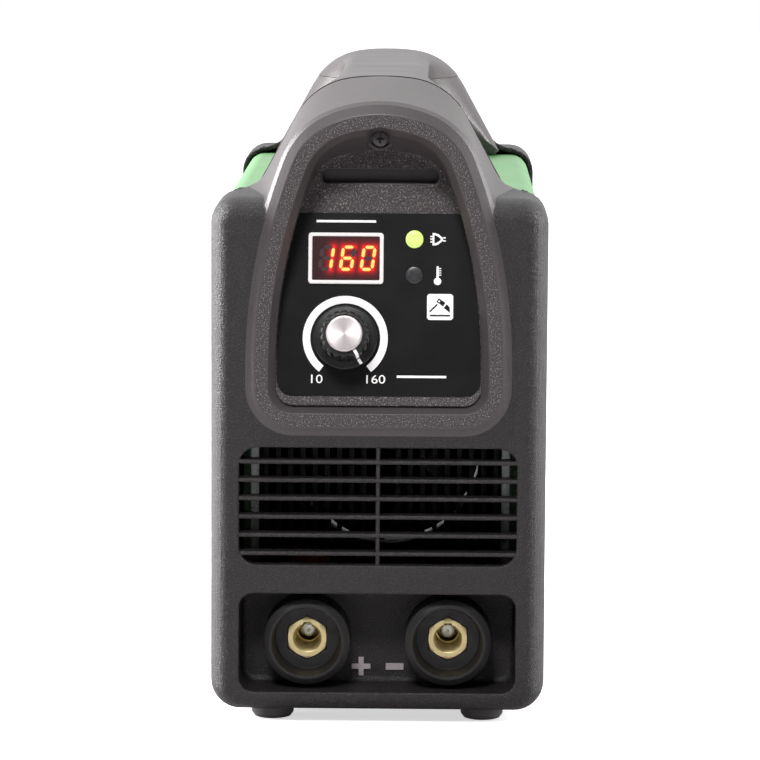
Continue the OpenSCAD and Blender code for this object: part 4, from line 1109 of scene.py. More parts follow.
shank = drawn_cylinder(screws, given["Shank_Radius"], given["Shank_Length"],
                       maths(screws, "MULTIPLY", given["Shank_Length"], -0.5), 20)
whole = add(screws, "GeometryNodeJoinGeometry", {0: cut_head})
screws.links.new(shank.outputs[0], whole.inputs[0])
aim = add(screws, "GeometryNodeInputNamedAttribute", {"Name": "aim"}, data_type="FLOAT_VECTOR")
facing = add(screws, "FunctionNodeAlignRotationToVector", {"Vector": aim}, axis="Z")
each = add(screws, "GeometryNodeInstanceOnPoints",
           {"Points": given["Seed"], "Instance": whole, "Rotation": facing})
end_tree(screws, each, given["Finish"])
print("screw tree:", len(screws.nodes), "nodes")

# %% Screws
grow("arch_screws", screws, [(0, -146.5, SCREW_Z - 0.3), (0, 146.5, SCREW_Z - 0.3)], "housing",
     "black_oxide_steel", ["handle_screws"],
     aims=[(0, -1, 0), (0, 1, 0)], Head_Radius=3.1 * MM, Head_Height=2.2 * MM, Shank_Radius=1.9 * MM,
     Shank_Length=20 * MM, Finish=black_oxide)
cover_x = HALF_W - COVER_STEP
grow("cover_pan_screws", screws, [(side * cover_x, y, 23) for side in (-1, 1) for y in (-84, 0, 84)],
     "housing",
     "zinc_steel", ["cover_screws"], aims=[(side, 0, 0) for side in (-1, 1) for y in range(3)],
     Head_Radius=3.6 * MM, Head_Height=2.1 * MM, Shank_Radius=1.6 * MM, Shank_Length=6 * MM,
     Finish=zinc_plate)
HOLE_PITCH = 82.5
corners = [(x * HOLE_PITCH / 2, FAN_Z + z * HOLE_PITCH / 2) for x in (-1, 1) for z in (-1, 1)]
grow("guard_pan_screws", screws, [(x, 155.5, z) for x, z in corners], "housing", "zinc_steel", ["fan_screws"],
     aims=[(0, 1, 0)] * 4, Head_Radius=3.9 * MM, Head_Height=1.0 * MM, Shank_Radius=1.9 * MM,
     Shank_Length=20 * MM, Finish=zinc_plate)

# %% [markdown]
# ## Panel overlay and its print
# The overlay is a polyester film printed black on its back, so it is smoother than the case round
# it. The print on it is white ink: an arc round the knob, the ends of its scale, three small signs
# and two plain rules. Each sign is drawn as flat shapes across (u) and up (v) on the panel.

# %% Overlay film
FILM_T = 0.4
FILM_Z0, FILM_Z1 = PANEL_Z, 198.0
FILM_IN = WELL_IN + 0.4


def overlay_outline(inset):
    """The film's outline: the arch's side between two heights, with rounded lower corners."""
    r, corner = RIM_SIDE_R - FILM_IN - inset, 6.0 - inset
    low = FILM_Z0 + inset
    top_a = math.degrees(math.asin((FILM_Z1 - inset - RIM_SIDE_Z) / r))
    low_a = math.degrees(math.asin((low + corner - RIM_SIDE_Z) / r))
    low_x = RIM_SIDE_X + r * math.cos(math.radians(low_a))
    half = [(0, low)] + arc(low_x - corner, low + corner, corner, -90, 0, 8)
    return half + arc(RIM_SIDE_X, RIM_SIDE_Z, r, low_a, top_a, 10)[1:] + [(0, FILM_Z1 - inset)]


def above_panel(x, z, height):
    """A point at a height above the panel."""
    return on_panel(x, z, 0, 0, height)


film_skin = Skin()
film_rings = [film_skin.ring([above_panel(x, z, h) for x, z in both_sides(overlay_outline(inset))])
              for inset, h in ((0, 0.02), (0, FILM_T - 0.08), (0.08, FILM_T))]
film_skin.bands(film_rings)
film_cuts = []
for x, z, cut in ([(*KNOB, SHAFT_CUT)]
                  + [(LAMP_X, z, circle(0, 0, LAMP_R + 0.12, 32)) for z in LAMPS.values()]
                  + [(*DISPLAY, DISPLAY_CUT)]):
    top, low = (film_skin.ring([on_panel(x, z, u, v, h) for u, v in cut]) for h in (FILM_T, 0.02))
    film_skin.band(top, low)
    film_cuts.append((top, low))
film_skin.fill(film_rings[-1], [top for top, _ in film_cuts])
film_skin.fill(film_rings[0], [low for _, low in film_cuts])
seat(build(film_skin, "overlay_film", [label_film]), "housing", "label_film", "panel_overlay")

# %% Print on the overlay
INK_H = FILM_T + 0.03
print_skin = Skin()


def print_shape(x, z, outline, holes=()):
    """Prints one closed shape with holes, its places given round a point of the panel."""
    rings = [print_skin.ring([on_panel(x, z, u, v, INK_H) for u, v in loop]) for loop in (outline, *holes)]
    print_skin.fill(rings[0], rings[1:])


def stroke(a, b, width):
    """The outline of a straight stroke with square ends."""
    along = (Vector(b) - Vector(a)).normalized()
    out = Vector((-along.y, along.x)) * width / 2
    return [tuple(Vector(a) - out), tuple(Vector(b) - out), tuple(Vector(b) + out), tuple(Vector(a) + out)]


def print_sector(x, z, inner, outer, start, end, steps):
    """Prints a part of a ring."""
    print_shape(x, z, arc(0, 0, outer, start, end, steps) + arc(0, 0, inner, end, start, steps))


DIAL_SWEEP = 142.4
print_sector(*KNOB, 13.5, 16.4, 90 - DIAL_SWEEP, 90 + DIAL_SWEEP, 72)
SIGN_X = 22.5
ROD_SIGN = (23.45, 162.65)
plug = [(-2.17, 2.43), (-1.1, 2.4), (0.2, 1.95), (1.2, 1.1), (1.83, 0.55)]
plug_inside = [(-1.45, 1.6), (-0.8, 1.4), (0.3, 0.85), (0.95, 0.2)]
print_shape(SIGN_X, LAMPS["power_lamp"], plug + [(u, -v) for u, v in reversed(plug)],
            [plug_inside + [(u, -v) for u, v in reversed(plug_inside)]])
for v in (-1.05, 0.05, 1.05):
    print_shape(SIGN_X, LAMPS["power_lamp"], stroke((-3.0, v), (-2.2, v), 0.55))
for v in (-0.6, 0.6):
    print_shape(SIGN_X, LAMPS["power_lamp"], stroke((1.86, v), (2.95, v), 0.55))
print_shape(22.4, LAMPS["heat_lamp"],
            arc(0, -2.4, 1.45, 108, 432, 24) + [(0.45, 3.2), (0.2, 3.5), (-0.2, 3.5), (-0.45, 3.2)])
for v in (0.0, 0.85, 1.7, 2.55):
    print_shape(ROD_SIGN[0], LAMPS["heat_lamp"], stroke((-0.55, v), (0.35, v), 0.38))
ROD = stroke((-4.0, -1.9), (-1.1, 1.0), 0.62)
JAW = [(-0.5, 3.4), (-1.4, 2.0), (1.15, 0.2), (2.1, 1.6)]
GRIP = [(2.6, 1.05), (1.4, -0.35), (3.76, -2.26), (3.76, -0.17)]
print_shape(*ROD_SIGN, round_box(-5.05, 5.05, -5.05, 5.05, 1.2),
            [ROD, JAW, GRIP, stroke((-3.95, -3.35), (3.85, -3.35), 0.65)])
print_shape(*ROD_SIGN, circle(-0.35, 2.2, 0.38, 12))
print_shape(-13, 194.9, stroke((-11.5, 0), (11.5, 0), 0.9))
print_shape(16.5, 136.2, stroke((-9.5, 0), (9.5, 0), 0.9))


WIDEN = 1.22
NUMBER_Z, NUMBER_H = 135.2, 3.3


def print_number(text, x, z, height):
    """Sets a number of the scale in the plain built-in face and lays it on the panel."""
    letters = bpy.data.curves.new(text, "FONT")
    letters.body = text
    letters.align_x = "CENTER"
    letters.size = height / 0.7
    letters.resolution_u = 4
    typed = bpy.data.objects.new(text, letters)
    scene.collection.objects.link(typed)
    graph = bpy.context.evaluated_depsgraph_get()
    flat = bpy.data.meshes.new_from_object(typed.evaluated_get(graph), depsgraph=graph)
    first = len(print_skin.points)
    print_skin.ring([on_panel(x, z, v.co.x * WIDEN, v.co.y - height / 2, INK_H) for v in flat.vertices])
    for polygon in flat.polygons:
        print_skin.face([first + i for i in polygon.vertices])
    bpy.data.objects.remove(typed)


print_number("10", -24.3, NUMBER_Z, NUMBER_H)
print_number("160", -1.6, NUMBER_Z, NUMBER_H)
seat(build(print_skin, "panel_print", [white_ink]), "housing", "mark_print")

# %% [markdown]
# ## Display and lamps
# The display is a white frame round a dark red filter. Behind the filter three seven-segment digits
# burn; the filter's plastic spreads their light, so each lit segment has a yellow core, an orange
# edge and a red haze. The haze is a value stored on the filter's points that falls with the distance
# from the nearest lit segment.

# %% Segments
DIGIT_H, DIGIT_W, DIGIT_PITCH, SEGMENT_W = 10.2, 5.8, 8.0, 1.6
DIGIT_LEAN = math.tan(math.radians(8))
SEGMENT_ENDS = {"a": ((0, 2), (1, 2)), "b": ((1, 1), (1, 2)), "c": ((1, 0), (1, 1)), "d": ((0, 0), (1, 0)),
                "e": ((0, 0), (0, 1)), "f": ((0, 1), (0, 2)), "g": ((0, 1), (1, 1))}
SHOWN = ["bc", "acdefg", "abcdef"]


def segment_ends(place, letter):
    """Both ends of a segment, round the display's middle."""
    ends = []
    for i, k in SEGMENT_ENDS[letter]:
        v = (k - 1) * (DIGIT_H - SEGMENT_W) / 2
        ends.append(Vector(((place - 1) * DIGIT_PITCH + (i - 0.5) * (DIGIT_W - SEGMENT_W) + 0.55
                            + v * DIGIT_LEAN, v)))
    return ends


def segment_outline(a, b, width):
    """A segment with pointed ends."""
    along = (b - a).normalized()
    out = Vector((-along.y, along.x)) * width / 2
    a, b = a + along * 0.32, b - along * 0.32
    short = along * width / 2
    return [a, a + short - out, b - short - out, b, b - short + out, a + short + out]


lit_pairs = [segment_ends(place, letter) for place, shown in enumerate(SHOWN) for letter in shown]
dark_pairs = [segment_ends(place, letter) for place, shown in enumerate(SHOWN) for letter in "abcdefg"
              if letter not in shown]
print("lit segments:", len(lit_pairs), "unlit:", len(dark_pairs))

# %% Display finishes
glow_core, core_tree = new_finish("lit_led_segment")
core_light = add(core_tree, "ShaderNodeEmission", {"Color": linear("#fff08a"), "Strength": 1.05})
add(core_tree, "ShaderNodeOutputMaterial", {"Surface": core_light})
glow_edge, edge_tree = new_finish("lit_led_edge")
edge_light = add(edge_tree, "ShaderNodeEmission", {"Color": linear("#ff7a18"), "Strength": 1.0})
add(edge_tree, "ShaderNodeOutputMaterial", {"Surface": edge_light})
unlit_segment = common_finish("unlit_led_segment", "#47292d", "#3e2226", 1.5, (0.4, 0.5))

red_filter, filter_tree = new_finish("red_acrylic_filter")
haze = add(filter_tree, "ShaderNodeAttribute", attribute_name="haze")
dust_place = add(filter_tree, "ShaderNodeTexCoord").outputs["Object"]
dust = add(filter_tree, "ShaderNodeTexNoise", {"Vector": dust_place, "Scale": grain(3), "Detail": 3.0})
filter_tone = blend_colours(filter_tree, dust.outputs[0], linear("#3c2327"), linear("#462b2f"))
filter_shader = add(filter_tree, "ShaderNodeBsdfPrincipled", {
    "Base Color": filter_tone, "Roughness": 0.22, "IOR": 1.49, "Emission Color": linear("#d40a06"),
    "Emission Strength": maths(filter_tree, "MULTIPLY", haze.outputs["Fac"], 2.6)})
add(filter_tree, "ShaderNodeOutputMaterial", {"Surface": filter_shader})
print("display finishes ready")

# %% Display
WINDOW_TOP = FILM_T + 0.8
window_skin = Skin()
columns, rows = 104, 68
half_u, half_v = 13.0, 8.5
grid = [[(-half_u + 2 * half_u * i / columns, -half_v + 2 * half_v * k / rows) for i in range(columns + 1)]
        for k in range(rows + 1)]
grid_rings = [window_skin.ring([on_panel(*DISPLAY, u, v, WINDOW_TOP) for u, v in row]) for row in grid]
window_skin.bands(grid_rings, closed=False)
edge_ring = (grid_rings[0] + [ring[-1] for ring in grid_rings[1:-1]] + grid_rings[-1][::-1]
             + [ring[0] for ring in grid_rings[-2:0:-1]])
under = window_skin.ring([tuple(Vector(window_skin.points[i])
                                + Vector((0, math.cos(TILT), -math.sin(TILT))) * 0.78)
                          for i in edge_ring])
window_skin.band(edge_ring, under)
window_skin.fill(under)
window = build(window_skin, "display_filter", [red_filter])


def far_from(point, a, b):
    """Distance of a point from a straight segment."""
    t = min(max((point - a).dot(b - a) / (b - a).length_squared, 0.0), 1.0)
    return (point - a.lerp(b, t)).length


haze_values = []
middle = Vector(on_panel(*DISPLAY, 0, 0, WINDOW_TOP))
up = Vector((0, math.sin(TILT), math.cos(TILT)))
for vertex in window.data.vertices:
    away = vertex.co / MM - middle
    spot = Vector((away.x, away.dot(up)))
    haze_values.append(math.exp(-min(far_from(spot, a, b) for a, b in lit_pairs) / 0.8))
window.data.attributes.new("haze", "FLOAT", "POINT").data.foreach_set("value", haze_values)
seat(window, "housing", "red_filter", "display_window")

digit_skin = Skin()
for pairs, layers in ((dark_pairs, ((SEGMENT_W, 0.02, 2),)),
                      (lit_pairs, ((SEGMENT_W, 0.02, 1), (SEGMENT_W * 0.68, 0.04, 0)))):
    for a, b in pairs:
        for width, lift, finish in layers:
            digit_skin.face(digit_skin.ring([on_panel(*DISPLAY, u, v, WINDOW_TOP + lift)
                                             for u, v in segment_outline(a, b, width)]), finish)
seat(build(digit_skin, "display_digits", [glow_core, glow_edge, unlit_segment]), "housing", "lamp_lit")

surround_skin = Skin()
surround = [(-14.5, 9.9, 1.2, 0.02), (-14.5, 9.9, 1.2, 1.05), (-14.25, 9.65, 1.0, 1.3),
            (-13.3, 8.8, 0.7, 1.3),
            (-13.05, 8.55, 0.5, 1.1), (-13.05, 8.55, 0.5, 0.02)]
surround_rings = surround_skin.loft([[on_panel(*DISPLAY, u, v, FILM_T + h)
                                      for u, v in round_box(x, -x, -z, z, r)]
                                     for x, z, r, h in surround])
surround_skin.band(surround_rings[-1], surround_rings[0])
seat(build(surround_skin, "display_frame", [white_abs]), "housing", "white_plastic", "display_surround")

# %% Lamps
lit_lens, lens_tree = new_finish("lit_green_lens")
lens_place = add(lens_tree, "ShaderNodeTexCoord").outputs["Object"]
lens_rings = add(lens_tree, "ShaderNodeTexNoise", {"Vector": lens_place, "Scale": grain(1.4), "Detail": 2.0})
lens_tone = blend_colours(lens_tree, lens_rings.outputs[0], linear("#b9e86a"), linear("#d8f58e"))
lens_shader = add(lens_tree, "ShaderNodeBsdfPrincipled", {
    "Base Color": lens_tone, "Roughness": 0.3, "Emission Color": lens_tone, "Emission Strength": 0.62})
add(lens_tree, "ShaderNodeOutputMaterial", {"Surface": lens_shader})
dark_lens = common_finish("unlit_smoked_lens", "#414143", "#37373a", 2, (0.25, 0.35))


def panel_spin(x, z):
    """Placing for something that turns about an axis square to the panel."""
    return lambda u, v, height: on_panel(x, z, u, v, height)


for name, finish, slot_name in (("power_lamp", lit_lens, "lamp_lit"), ("heat_lamp", dark_lens, "lamp_dark")):
    lamp_skin = Skin()
    dome = [(0.01, -5.9), (LAMP_R, -5.9), (LAMP_R, FILM_T)]
    dome += [(LAMP_R * math.cos(a) ** 0.6, FILM_T + 0.4 * math.sin(a)) for a in (0.3, 0.6, 0.9, 1.2, 1.45)]
    spun(lamp_skin, dome + [(0.01, FILM_T + 0.4)], 40, place=panel_spin(LAMP_X, LAMPS[name]))
    seat(build(lamp_skin, name + "_lens", [finish]), "housing", slot_name, name)

# %% [markdown]
# ## Current knob
# The knob is one black moulding: a thin skirt, and a grip with eighteen flutes whose shoulder is
# rounded. A spun aluminium cap is pressed into its top, and a white line runs over the shoulder
# and out along the skirt. All of it rides on the knob's body, so it turns with the shaft.

# %% Knob
KNOB_H, SKIRT_R, GRIP_R, CAP_R, FLUTES = 19.0, 12.3, 9.5, 7.0, 18
SKIRT_TOP = 3.4
KNOB_REST = 148
knob_place = panel_spin(*KNOB)


def fluted(radius, depth, steps=144):
    """One ring of a grip whose flutes are cut a little into the radius."""
    out = []
    for i in range(steps):
        a = 2 * math.pi * i / steps
        cut = max(0.0, math.cos(FLUTES * a)) ** 1.5
        out.append(((radius - depth * cut) * math.cos(a), (radius - depth * cut) * math.sin(a)))
    return out


knob_skin = Skin()
knob_rings = []
for radius, depth, height in (
        (8.2, 0, 1.02), (SKIRT_R - 0.3, 0, 1.02), (SKIRT_R, 0, 1.3), (SKIRT_R, 0, 2.7),
                              (SKIRT_R - 0.12, 0, 3.0),
        (SKIRT_R - 0.5, 0, 3.2), (GRIP_R + 0.5, 0, SKIRT_TOP), (GRIP_R + 0.15, 0, SKIRT_TOP + 0.1),
        (GRIP_R, 0, SKIRT_TOP + 0.5), (GRIP_R, 0, SKIRT_TOP + 0.9), (GRIP_R, 0.75, SKIRT_TOP + 1.5),
        (GRIP_R - 0.05, 0.8, 9), (GRIP_R - 0.15, 0.8, 15.4), (GRIP_R - 0.35, 0.7, 16.4),
                              (GRIP_R - 0.8, 0.45, 17.1),
        (GRIP_R - 1.4, 0.15, 17.45), (CAP_R + 0.35, 0, 17.5), (CAP_R + 0.12, 0, 17.4), (CAP_R + 0.1, 0, 17.1),
        (3.1, 0, 17.05), (3.1, 0, 4.6), (8.2, 0, 4.5)):
    knob_rings.append(knob_skin.ring([knob_place(u, v, height) for u, v in fluted(radius, depth)]))
for a, b in zip(knob_rings, knob_rings[1:] + knob_rings[:1]):
    knob_skin.band(a, b)
seat(build(knob_skin, "knob_moulding", [phenolic], sharp=50), "knob", "knob_black", "knob_body")

cap_skin = Skin()
cap_profile = [(0.01, 17.2), (CAP_R, 17.2), (CAP_R, 18.45), (CAP_R - 0.18, 18.8), (CAP_R - 0.5, 18.97),
               (CAP_R - 0.9, 19.0),
               (3.0, 19.0), (0.01, 19.0)]
spun(cap_skin, cap_profile, 96, place=knob_place)
cap_foot = Vector(on_panel(*KNOB, 0, 0, 0))

spun_aluminium, cap_tree = new_finish("spun_aluminium")
cap_place = add(cap_tree, "ShaderNodeTexCoord").outputs["Object"]
cap_local = add(cap_tree, "ShaderNodeVectorMath", {0: cap_place, 1: tuple(cap_foot * MM)},
                operation="SUBTRACT")
cap_axis = (0, -math.cos(TILT), math.sin(TILT))
groove = add(cap_tree, "ShaderNodeVectorMath", {0: cap_local, 1: cap_axis}, operation="CROSS_PRODUCT")
reach_out = add(cap_tree, "ShaderNodeVectorMath", {0: groove}, operation="LENGTH").outputs["Value"]
groove_way = add(cap_tree, "ShaderNodeVectorTransform", {0: groove}, vector_type="VECTOR",
                 convert_from="OBJECT",
                 convert_to="WORLD")
# Lathe lines are a few hundredths of a millimetre apart; they are drawn at 0.5 mm to be seen.
lines = add(cap_tree, "ShaderNodeMath", {0: reach_out, 1: 2 * math.pi / (0.5 * MM)}, operation="MULTIPLY")
wave = add(cap_tree, "ShaderNodeMath", {0: lines}, operation="SINE")
lathe = add(cap_tree, "ShaderNodeMapRange", {0: wave, 1: -1.0, 2: 1.0, 3: 0.0, 4: 1.0})
cap_tone = blend_colours(cap_tree, lathe.outputs[0], linear("#efe5e6"), linear("#f8f0f0"))
cap_rough = add(cap_tree, "ShaderNodeMapRange", {0: lathe.outputs[0], 1: 0.0, 2: 1.0, 3: 0.5, 4: 0.56})
cap_shader = add(cap_tree, "ShaderNodeBsdfPrincipled",
                 {"Base Color": cap_tone, "Roughness": cap_rough, "Metallic": 1.0,
                                                        "Anisotropic": 0.6, "Tangent": groove_way})
add(cap_tree, "ShaderNodeOutputMaterial", {"Surface": cap_shader})
seat(build(cap_skin, "knob_disc", [spun_aluminium], sharp=30), "knob", "spun_aluminium", "knob_cap")

pointer_skin = Skin()
turn = math.radians(-KNOB_REST)


def pointer_place(u, v, height):
    """Placing on the knob, turned to where its pointer rests."""
    return knob_place(u * math.cos(turn) - v * math.sin(turn), u * math.sin(turn) + v * math.cos(turn),
                      height)


for path in ([(CAP_R + 0.2, 17.54), (8.15, 17.5), (8.75, 17.2), (9.2, 16.6), (9.4, 15.8), (9.47, 13),
              (9.5, 5.2)],
             [(GRIP_R + 0.3, 3.46), (11.75, 3.26), (12.1, 3.0)]):
    sides = [[pointer_place(u, v, h) for v, h in path] for u in (-0.6, 0.6)]
    rings = [pointer_skin.ring(points) for points in sides]
    pointer_skin.band(rings[0], rings[1], closed=False)
pointer = build(pointer_skin, "knob_line", [white_ink], wall=0.12)
seat(pointer, "knob", "white_plastic", "knob_pointer")

# %% [markdown]
# ## Output sockets
# Each socket is a nylon body with a thick front flange, a shallow dish, and a hexagonal pocket in
# which a brass contact sits point upwards. The bore of the contact takes the cable plug's pin, and
# the keyway above it takes the pin's lug. A bolt holds the busbar from behind; its tip shows in
# the bore. A hexagon with turned edges is a circle of points, each no farther out than the flats.

# %% Hexagons and socket bodies
SOCKET_AF = 15.0
FLANGE_Y, CONTACT_Y, BOLT_TIP_Y = FACE_Y + 5, FACE_Y + 14.5, -123.5


def hex_reach(a, across_flats, corner_r=0.0):
    """How far out a hexagon with a point upwards reaches in one direction."""
    flat = across_flats / 2
    from_flat = (a + math.pi / 6) % (math.pi / 3) - math.pi / 6
    return min(flat / math.cos(from_flat), flat / math.cos(math.pi / 6) - corner_r)


def turned(skin, rings, place, steps=96, finish=0):
    """Rings of (limit radius, height, across flats or None) round an axis, joined to a skin."""
    made = []
    for radius, height, flats in rings:
        points = []
        for i in range(steps):
            a = 2 * math.pi * i / steps
            r = min(radius, hex_reach(a, flats, 0.15)) if flats else radius
            points.append(place(r * math.cos(a), r * math.sin(a), height))
        made.append(skin.ring(points))
    skin.bands(made, finish)
    return made


for side, sign in ((-1, "plus"), (1, "minus")):
    socket_place = forward(side * SOCKET_X, 0, SOCKET_Z)
    body_skin = Skin()
    flange_h = -FLANGE_Y
    body_rings = turned(body_skin, [
        (13.8, 106, None), (13.8, 132.0, None), (17, 132.0, None), (17, flange_h - 1.7, None),
        (16.8, flange_h - 1.4, None), (14.7, flange_h - 0.1, None), (14.45, flange_h, None),
                                    (13.8, flange_h, None),
        (13.6, flange_h - 0.15, None), (13.45, flange_h - 0.5, None), (13.3, flange_h - 1.6, None),
        (13.05, flange_h - 1.9, None), (12.2, -CONTACT_Y, None), (12.0, -CONTACT_Y - 0.15, None),
        (9.5, -CONTACT_Y - 0.2, SOCKET_AF + 0.6), (9.5, -CONTACT_Y - 0.5, SOCKET_AF + 0.3),
                                    (9.5, 126, SOCKET_AF + 0.3),
        (7.3, 125.6, None), (7.3, 106, None)], socket_place)
    body_skin.band(body_rings[-1], body_rings[0])
    seat(build(body_skin, "socket_shell_" + sign, [socket_nylon]), "housing", "socket_plastic",
         "socket_body_" + sign)

# %% Brass contacts
KEY_HALF_W, KEY_R = 1.6, 6.1


def keyed(radius, steps=96):
    """A bore's circle with the keyway's slot at twelve o'clock."""
    out = []
    for i in range(steps):
        a = 2 * math.pi * i / steps
        u, v = radius * math.cos(a), radius * math.sin(a)
        if v > 0 and abs(u) < KEY_HALF_W and radius < KEY_R:
            v = KEY_R
        out.append((u, v))
    return out


turned_brass = common_finish("turned_brass", "#f1e3b4", "#dcc88c", 1.6, (0.36, 0.5), 0.02, 0.5, metallic=1.0)
for side, sign in ((-1, "plus"), (1, "minus")):
    socket_place = forward(side * SOCKET_X, 0, SOCKET_Z)
    contact_skin = Skin()
    front_h = -CONTACT_Y
    outer_rings = turned(contact_skin, [(7.2, 101, None), (7.2, 125.7, None), (9.4, 125.8, SOCKET_AF),
                                        (9.4, front_h - 1.1, SOCKET_AF), (8.2, front_h - 0.35, SOCKET_AF),
                                        (7.55, front_h, SOCKET_AF)], socket_place)
    inner_rings = []
    for radius, height in ((5.8, front_h), (5.5, front_h - 0.1), (4.65, front_h - 1.1), (4.6, front_h - 1.4),
                           (4.6, front_h - 10)):
        inner_rings.append(contact_skin.ring([socket_place(u, v, height) for u, v in keyed(radius)]))
    for radius, height in ((4.6, front_h - 10.02), (4.6, 124.2), (4.1, 124), (4.1, 116), (3.0, 115.8),
                           (3.0, 101)):
        inner_rings.append(contact_skin.ring([socket_place(u, v, height)
                                              for u, v in circle(0, 0, radius, 96)]))
    for a, b in zip([outer_rings[-1]] + inner_rings, inner_rings + [outer_rings[0]]):
        contact_skin.band(a, b)
    seat(build(contact_skin, "brass_contact_" + sign, [turned_brass]), "housing", "contact_brass",
         "socket_contact_" + sign)

# %% Contact bolts, with a thread that shows in the bore
bolt_skin = Skin()
THREAD_PITCH = 1.0
for side in (-1, 1):
    bolt_place = forward(side * SOCKET_X, 0, SOCKET_Z)
    thread = []
    for k in range(8):
        low = 115 + k * THREAD_PITCH
        thread += [(2.85, low, None), (2.45, low + THREAD_PITCH / 2, None)]
    bolt_rings = turned(bolt_skin, [(0.01, 94.3, None), (5.0, 94.3, 10), (5.77, 94.6, 10), (5.77, 98.3, 10),
                                    (2.9, 98.31, None), (2.9, 114.9, None)] + thread
                        + [(2.85, 122.9, None), (2.6, -BOLT_TIP_Y - 0.1, None), (2.3, -BOLT_TIP_Y, None),
                           (0.6, -BOLT_TIP_Y, None), (0.01, -BOLT_TIP_Y - 0.2, None)],
                        bolt_place, 48)
seat(build(bolt_skin, "contact_bolts", [zinc_plate], sharp=30), "housing", "zinc_steel", "socket_bolts")

# %% Polarity marks
marks_skin = Skin()
plus_arm, plus_half = 3.7, 1.0
plus = [(plus_half, -plus_arm), (plus_half, -plus_half), (plus_arm, -plus_half), (plus_arm, plus_half),
        (plus_half, plus_half), (plus_half, plus_arm)]
plus = plus + [(-u, -v) for u, v in plus]
minus = [(3.5, -1.3), (3.5, 1.3), (-3.5, 1.3), (-3.5, -1.3)]
for x, outline in ((-6.5, plus), (6.7, minus)):
    marks_rings = marks_skin.loft([[(x + u * k, BAY_BACK_Y - h, 18.8 + v * k) for u, v in outline]
                                   for k, h in ((1.0, 0.0), (1.0, 0.42), (0.975, 0.5))])
    marks_skin.fill(marks_rings[-1])
    marks_skin.fill(marks_rings[0])
seat(build(marks_skin, "raised_marks", [pad_print]), "housing", "mark_print", "polarity_marks")

# %% [markdown]
# ## Strap bars
# Behind each strap slot stands a flat black bar on two feet. The shoulder strap is looped round it.

# %% Strap bars
BAR_Z0, BAR_Z1 = 206.15, 215.15
BAR_HALF_L, BAR_EDGE_R, BAR_FOOT_W = 28, 1.1, 4
bar_skin = Skin()
for near, back, foot_y in ((-129.0, -126.4, -131.3), (133.0, 130.4, 141.5)):
    low, high = min(near, back), max(near, back)
    bar_rings = bar_skin.loft([[(x, y, z) for y, z in round_box(low + g, high - g, BAR_Z0 + g, BAR_Z1 - g,
                                                                BAR_EDGE_R - g)]
                               for x, g in ((-BAR_HALF_L, 0.3), (0.3 - BAR_HALF_L, 0),
                                            (BAR_HALF_L - 0.3, 0), (BAR_HALF_L, 0.3))])
    bar_skin.fill(bar_rings[0], axes=(1, 2))
    bar_skin.fill(bar_rings[-1], axes=(1, 2))
    for x in (-BAR_HALF_L, BAR_HALF_L - BAR_FOOT_W):
        foot = [(x, BAR_Z0 + 0.1), (x + BAR_FOOT_W, BAR_Z0 + 0.1), (x + BAR_FOOT_W, BAR_Z1 - 0.1),
                (x, BAR_Z1 - 0.1)]
        foot_rings = bar_skin.loft([[(u, y, v) for u, v in foot] for y in ((low + high) / 2, foot_y)])
        bar_skin.fill(foot_rings[0])
        bar_skin.fill(foot_rings[1])
seat(build(bar_skin, "strap_loops", [black_oxide]), "housing", "black_oxide_steel", "strap_bars")

# %% [markdown]
# ## Mains switch, cable gland and earth screw
# The back carries a red rocker in a black frame, a nylon cable gland with its clamping cap, and a
# brass earth screw. The rocker rides on its own body and rests with its upper half pressed in.

# %% Mains switch
switch_place = backward(SWITCH[0], REAR_PANEL_Y, SWITCH[1])
frame_skin = Skin()
switch_rings = []
for half_w, half_h, radius, height in ((12.5, 16, 1.5, 0.02), (12.5, 16, 1.5, 1.5), (12.1, 15.6, 1.3, 1.95),
                                       (11.8, 15.3, 1.2, 2.0),
                                       (9.3, 14.3, 0.5, 2.0), (9.0, 14.0, 0.4, 1.7), (9.0, 14.0, 0.4, -13),
                                       (0.02, 0.02, 0.01, -13)):
    outline = round_box(-half_w, half_w, -half_h, half_h, radius)
    switch_rings.append(frame_skin.ring([switch_place(u, v, height) for u, v in outline]))
frame_skin.bands(switch_rings)
back_rings = [frame_skin.ring([switch_place(u, v, h) for u, v in round_box(-w, w, -t, t, 0.5)])
              for w, t, h in ((12.5, 16, 0.02), (10.8, 14.8, 0.01), (10.8, 14.8, -17), (0.02, 0.02, -17))]
frame_skin.bands(back_rings)
seat(build(frame_skin, "switch_bezel", [phenolic]), "housing", "knob_black", "switch_housing")

rocker_skin = Skin()
rocker_tilt = math.radians(10)
rocker_place = backward(SWITCH[0], REAR_PANEL_Y - 3, SWITCH[1])


def rocker_point(u, v, height):
    """A point of the rocker before its tilt: v up the face, height outwards from the pivot."""
    return rocker_place(u, v * math.cos(rocker_tilt) + height * math.sin(rocker_tilt),
                        height * math.cos(rocker_tilt) - v * math.sin(rocker_tilt))


